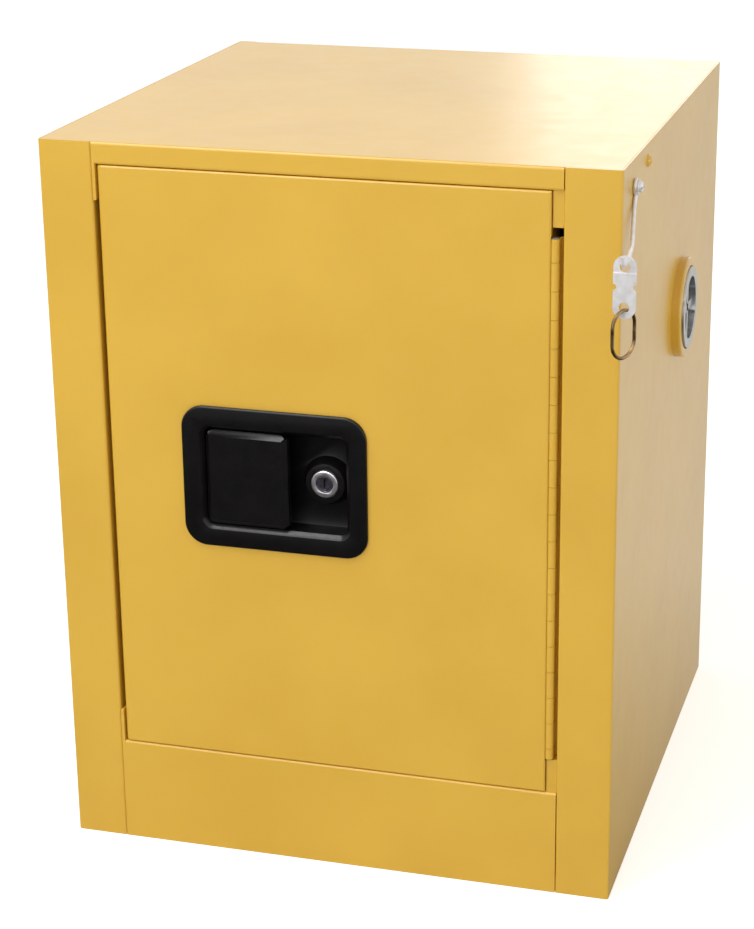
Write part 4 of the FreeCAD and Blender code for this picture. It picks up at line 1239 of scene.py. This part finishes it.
@dataclass
class Studio:
    """White floor, even daylight and the camera of the photograph."""

    focal: float = 89.24
    sensor: float = 36.0
    shift: Pair = (-0.06, -0.05)
    place: Triple = (0.49637, -1.71895, 0.90547)
    azimuth: float = 15.469
    elevation: float = 18.873
    roll: float = -0.313
    floor_size: float = 12.0
    floor_drop: float = 0.0004
    floor_glow: float = 0.56
    mirror_span: Pair = (-0.35, 0.45)
    mirror_glow: Pair = (0.06, 0.72)
    daylight: float = 0.55
    soft_lamps: tuple[Lamp, ...] = (
        Lamp("front_softbox", (-0.5, -2.4, 1.5), (0, -0.2, 0.25), 1.8, 20.3),
        Lamp("right_softbox", (2.3, -0.4, 0.25), (0.2, 0, 0.15), 1.2, 11.0),
        Lamp("back_softbox", (-0.05, 2.6, 1.05), (0.1, 0.1, 0.5), 0.9, 3.9),
        Lamp("overhead_softbox", (-0.72, -0.95, 2.3), (0, -0.2, 0.3), 0.9, 20.5))

    def build(self) -> None:
        """Set the stage."""
        self.floor()
        self.world()
        self.lamps()
        self.camera()
        bpy.context.scene.view_settings.view_transform = "Standard"

    def floor(self) -> None:
        """Floor that is white to the camera and keeps the shadow."""
        Maker.clear()
        bpy.ops.mesh.primitive_plane_add(size=self.floor_size, location=(0, 0, -self.floor_drop))
        floor = bpy.context.object
        floor.name = "studio_floor"
        material = bpy.data.materials.new("studio_white")
        material.use_nodes = True
        nodes = material.node_tree.nodes
        links = material.node_tree.links
        nodes.clear()
        output = nodes.new("ShaderNodeOutputMaterial")
        diffuse = nodes.new("ShaderNodeBsdfDiffuse")
        diffuse.inputs["Color"].default_value = (0.82, 0.82, 0.81, 1)
        glow = nodes.new("ShaderNodeEmission")
        glow.inputs["Color"].default_value = (1, 1, 1, 1)
        glow.inputs["Strength"].default_value = self.floor_glow
        both = nodes.new("ShaderNodeAddShader")
        links.new(diffuse.outputs[0], both.inputs[0])
        links.new(glow.outputs[0], both.inputs[1])
        path = nodes.new("ShaderNodeLightPath")
        seen = nodes.new("ShaderNodeMixShader")
        links.new(path.outputs["Is Camera Ray"], seen.inputs[0])
        links.new(diffuse.outputs[0], seen.inputs[1])
        links.new(both.outputs[0], seen.inputs[2])
        mirrored = nodes.new("ShaderNodeMixShader")
        links.new(path.outputs["Is Glossy Ray"], mirrored.inputs[0])
        links.new(seen.outputs[0], mirrored.inputs[1])
        links.new(self.reflected_floor(nodes, links), mirrored.inputs[2])
        links.new(mirrored.outputs[0], output.inputs["Surface"])
        floor.data.materials.append(material)

    def reflected_floor(self, nodes: bpy.types.Nodes, links: bpy.types.NodeLinks) -> bpy.types.NodeSocket:
        """Floor as reflections see it: pale behind the object, dim in front of it.

        Args:
            nodes: The floor material's nodes.
            links: Its links.

        Returns:
            The glow's shader socket.
        """
        place = nodes.new("ShaderNodeTexCoord")
        split = nodes.new("ShaderNodeSeparateXYZ")
        links.new(place.outputs["Object"], split.inputs[0])
        spread = nodes.new("ShaderNodeMapRange")
        spread.inputs["From Min"].default_value, spread.inputs["From Max"].default_value = self.mirror_span
        spread.inputs["To Min"].default_value, spread.inputs["To Max"].default_value = self.mirror_glow
        links.new(split.outputs["Y"], spread.inputs["Value"])
        glow = nodes.new("ShaderNodeEmission")
        links.new(spread.outputs["Result"], glow.inputs["Strength"])
        return glow.outputs[0]

    def world(self) -> None:
        """White surround, softer as a light than to the camera and in reflections."""
        world = bpy.data.worlds.new("studio_world")
        bpy.context.scene.world = world
        world.use_nodes = True
        nodes = world.node_tree.nodes
        links = world.node_tree.links
        nodes.clear()
        output = nodes.new("ShaderNodeOutputWorld")
        light = nodes.new("ShaderNodeBackground")
        light.inputs["Color"].default_value = (1.0, 0.99, 0.97, 1)
        light.inputs["Strength"].default_value = self.daylight
        seen = nodes.new("ShaderNodeBackground")
        seen.inputs["Color"].default_value = (1, 1, 1, 1)
        seen.inputs["Strength"].default_value = 1.0
        path = nodes.new("ShaderNodeLightPath")
        add = nodes.new("ShaderNodeMath")
        add.operation = "MAXIMUM"
        links.new(path.outputs["Is Camera Ray"], add.inputs[0])
        links.new(path.outputs["Is Glossy Ray"], add.inputs[1])
        also = nodes.new("ShaderNodeMath")
        also.operation = "MAXIMUM"
        links.new(add.outputs[0], also.inputs[0])
        links.new(path.outputs["Is Transmission Ray"], also.inputs[1])
        mix = nodes.new("ShaderNodeMixShader")
        links.new(also.outputs[0], mix.inputs[0])
        links.new(light.outputs[0], mix.inputs[1])
        links.new(seen.outputs[0], mix.inputs[2])
        links.new(mix.outputs[0], output.inputs["Surface"])

    def lamps(self) -> None:
        """Hang the soft lamps in front, above, behind and to the right."""
        for lamp in self.soft_lamps:
            lamp.build()

    def camera(self) -> None:
        """Camera solved from the cabinet's corners in the photograph."""
        data = bpy.data.cameras.new("photo_camera")
        data.lens = self.focal
        data.sensor_width = self.sensor
        data.shift_x, data.shift_y = self.shift
        camera = bpy.data.objects.new("photo_camera", data)
        bpy.context.collection.objects.link(camera)
        az = math.radians(self.azimuth)
        el = math.radians(self.elevation)
        look = Vector((-math.sin(az) * math.cos(el), math.cos(az) * math.cos(el), -math.sin(el)))
        right = look.cross(Vector((0, 0, 1))).normalized()
        up = right.cross(look)
        tilt = math.radians(self.roll)
        level = right * math.cos(tilt) + up * math.sin(tilt)
        rise = up * math.cos(tilt) - right * math.sin(tilt)
        turn = Matrix((level, rise, -look)).transposed()
        camera.matrix_world = Matrix.Translation(self.place) @ turn.to_4x4()
        bpy.context.scene.camera = camera


def main() -> None:
    """Load the frame, dress it, add the modelled pieces and set the studio."""
    logging.basicConfig(level=logging.INFO)
    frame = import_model()
    palette = Palette()
    palette.dress_frame(frame)
    LatchBezel(palette).build()
    PaddleHandle(palette).build()
    KeyLock(palette).build()
    BoltSpring(palette).build()
    VentPlug(palette, 1, "right_plug", "right_vent_plug", (38.0, 394.0)).build()
    VentPlug(palette, -1, "left_plug", "left_vent_plug", (38.0, 150.0)).build()
    Studio().build()


if __name__ == "__main__":
    main()
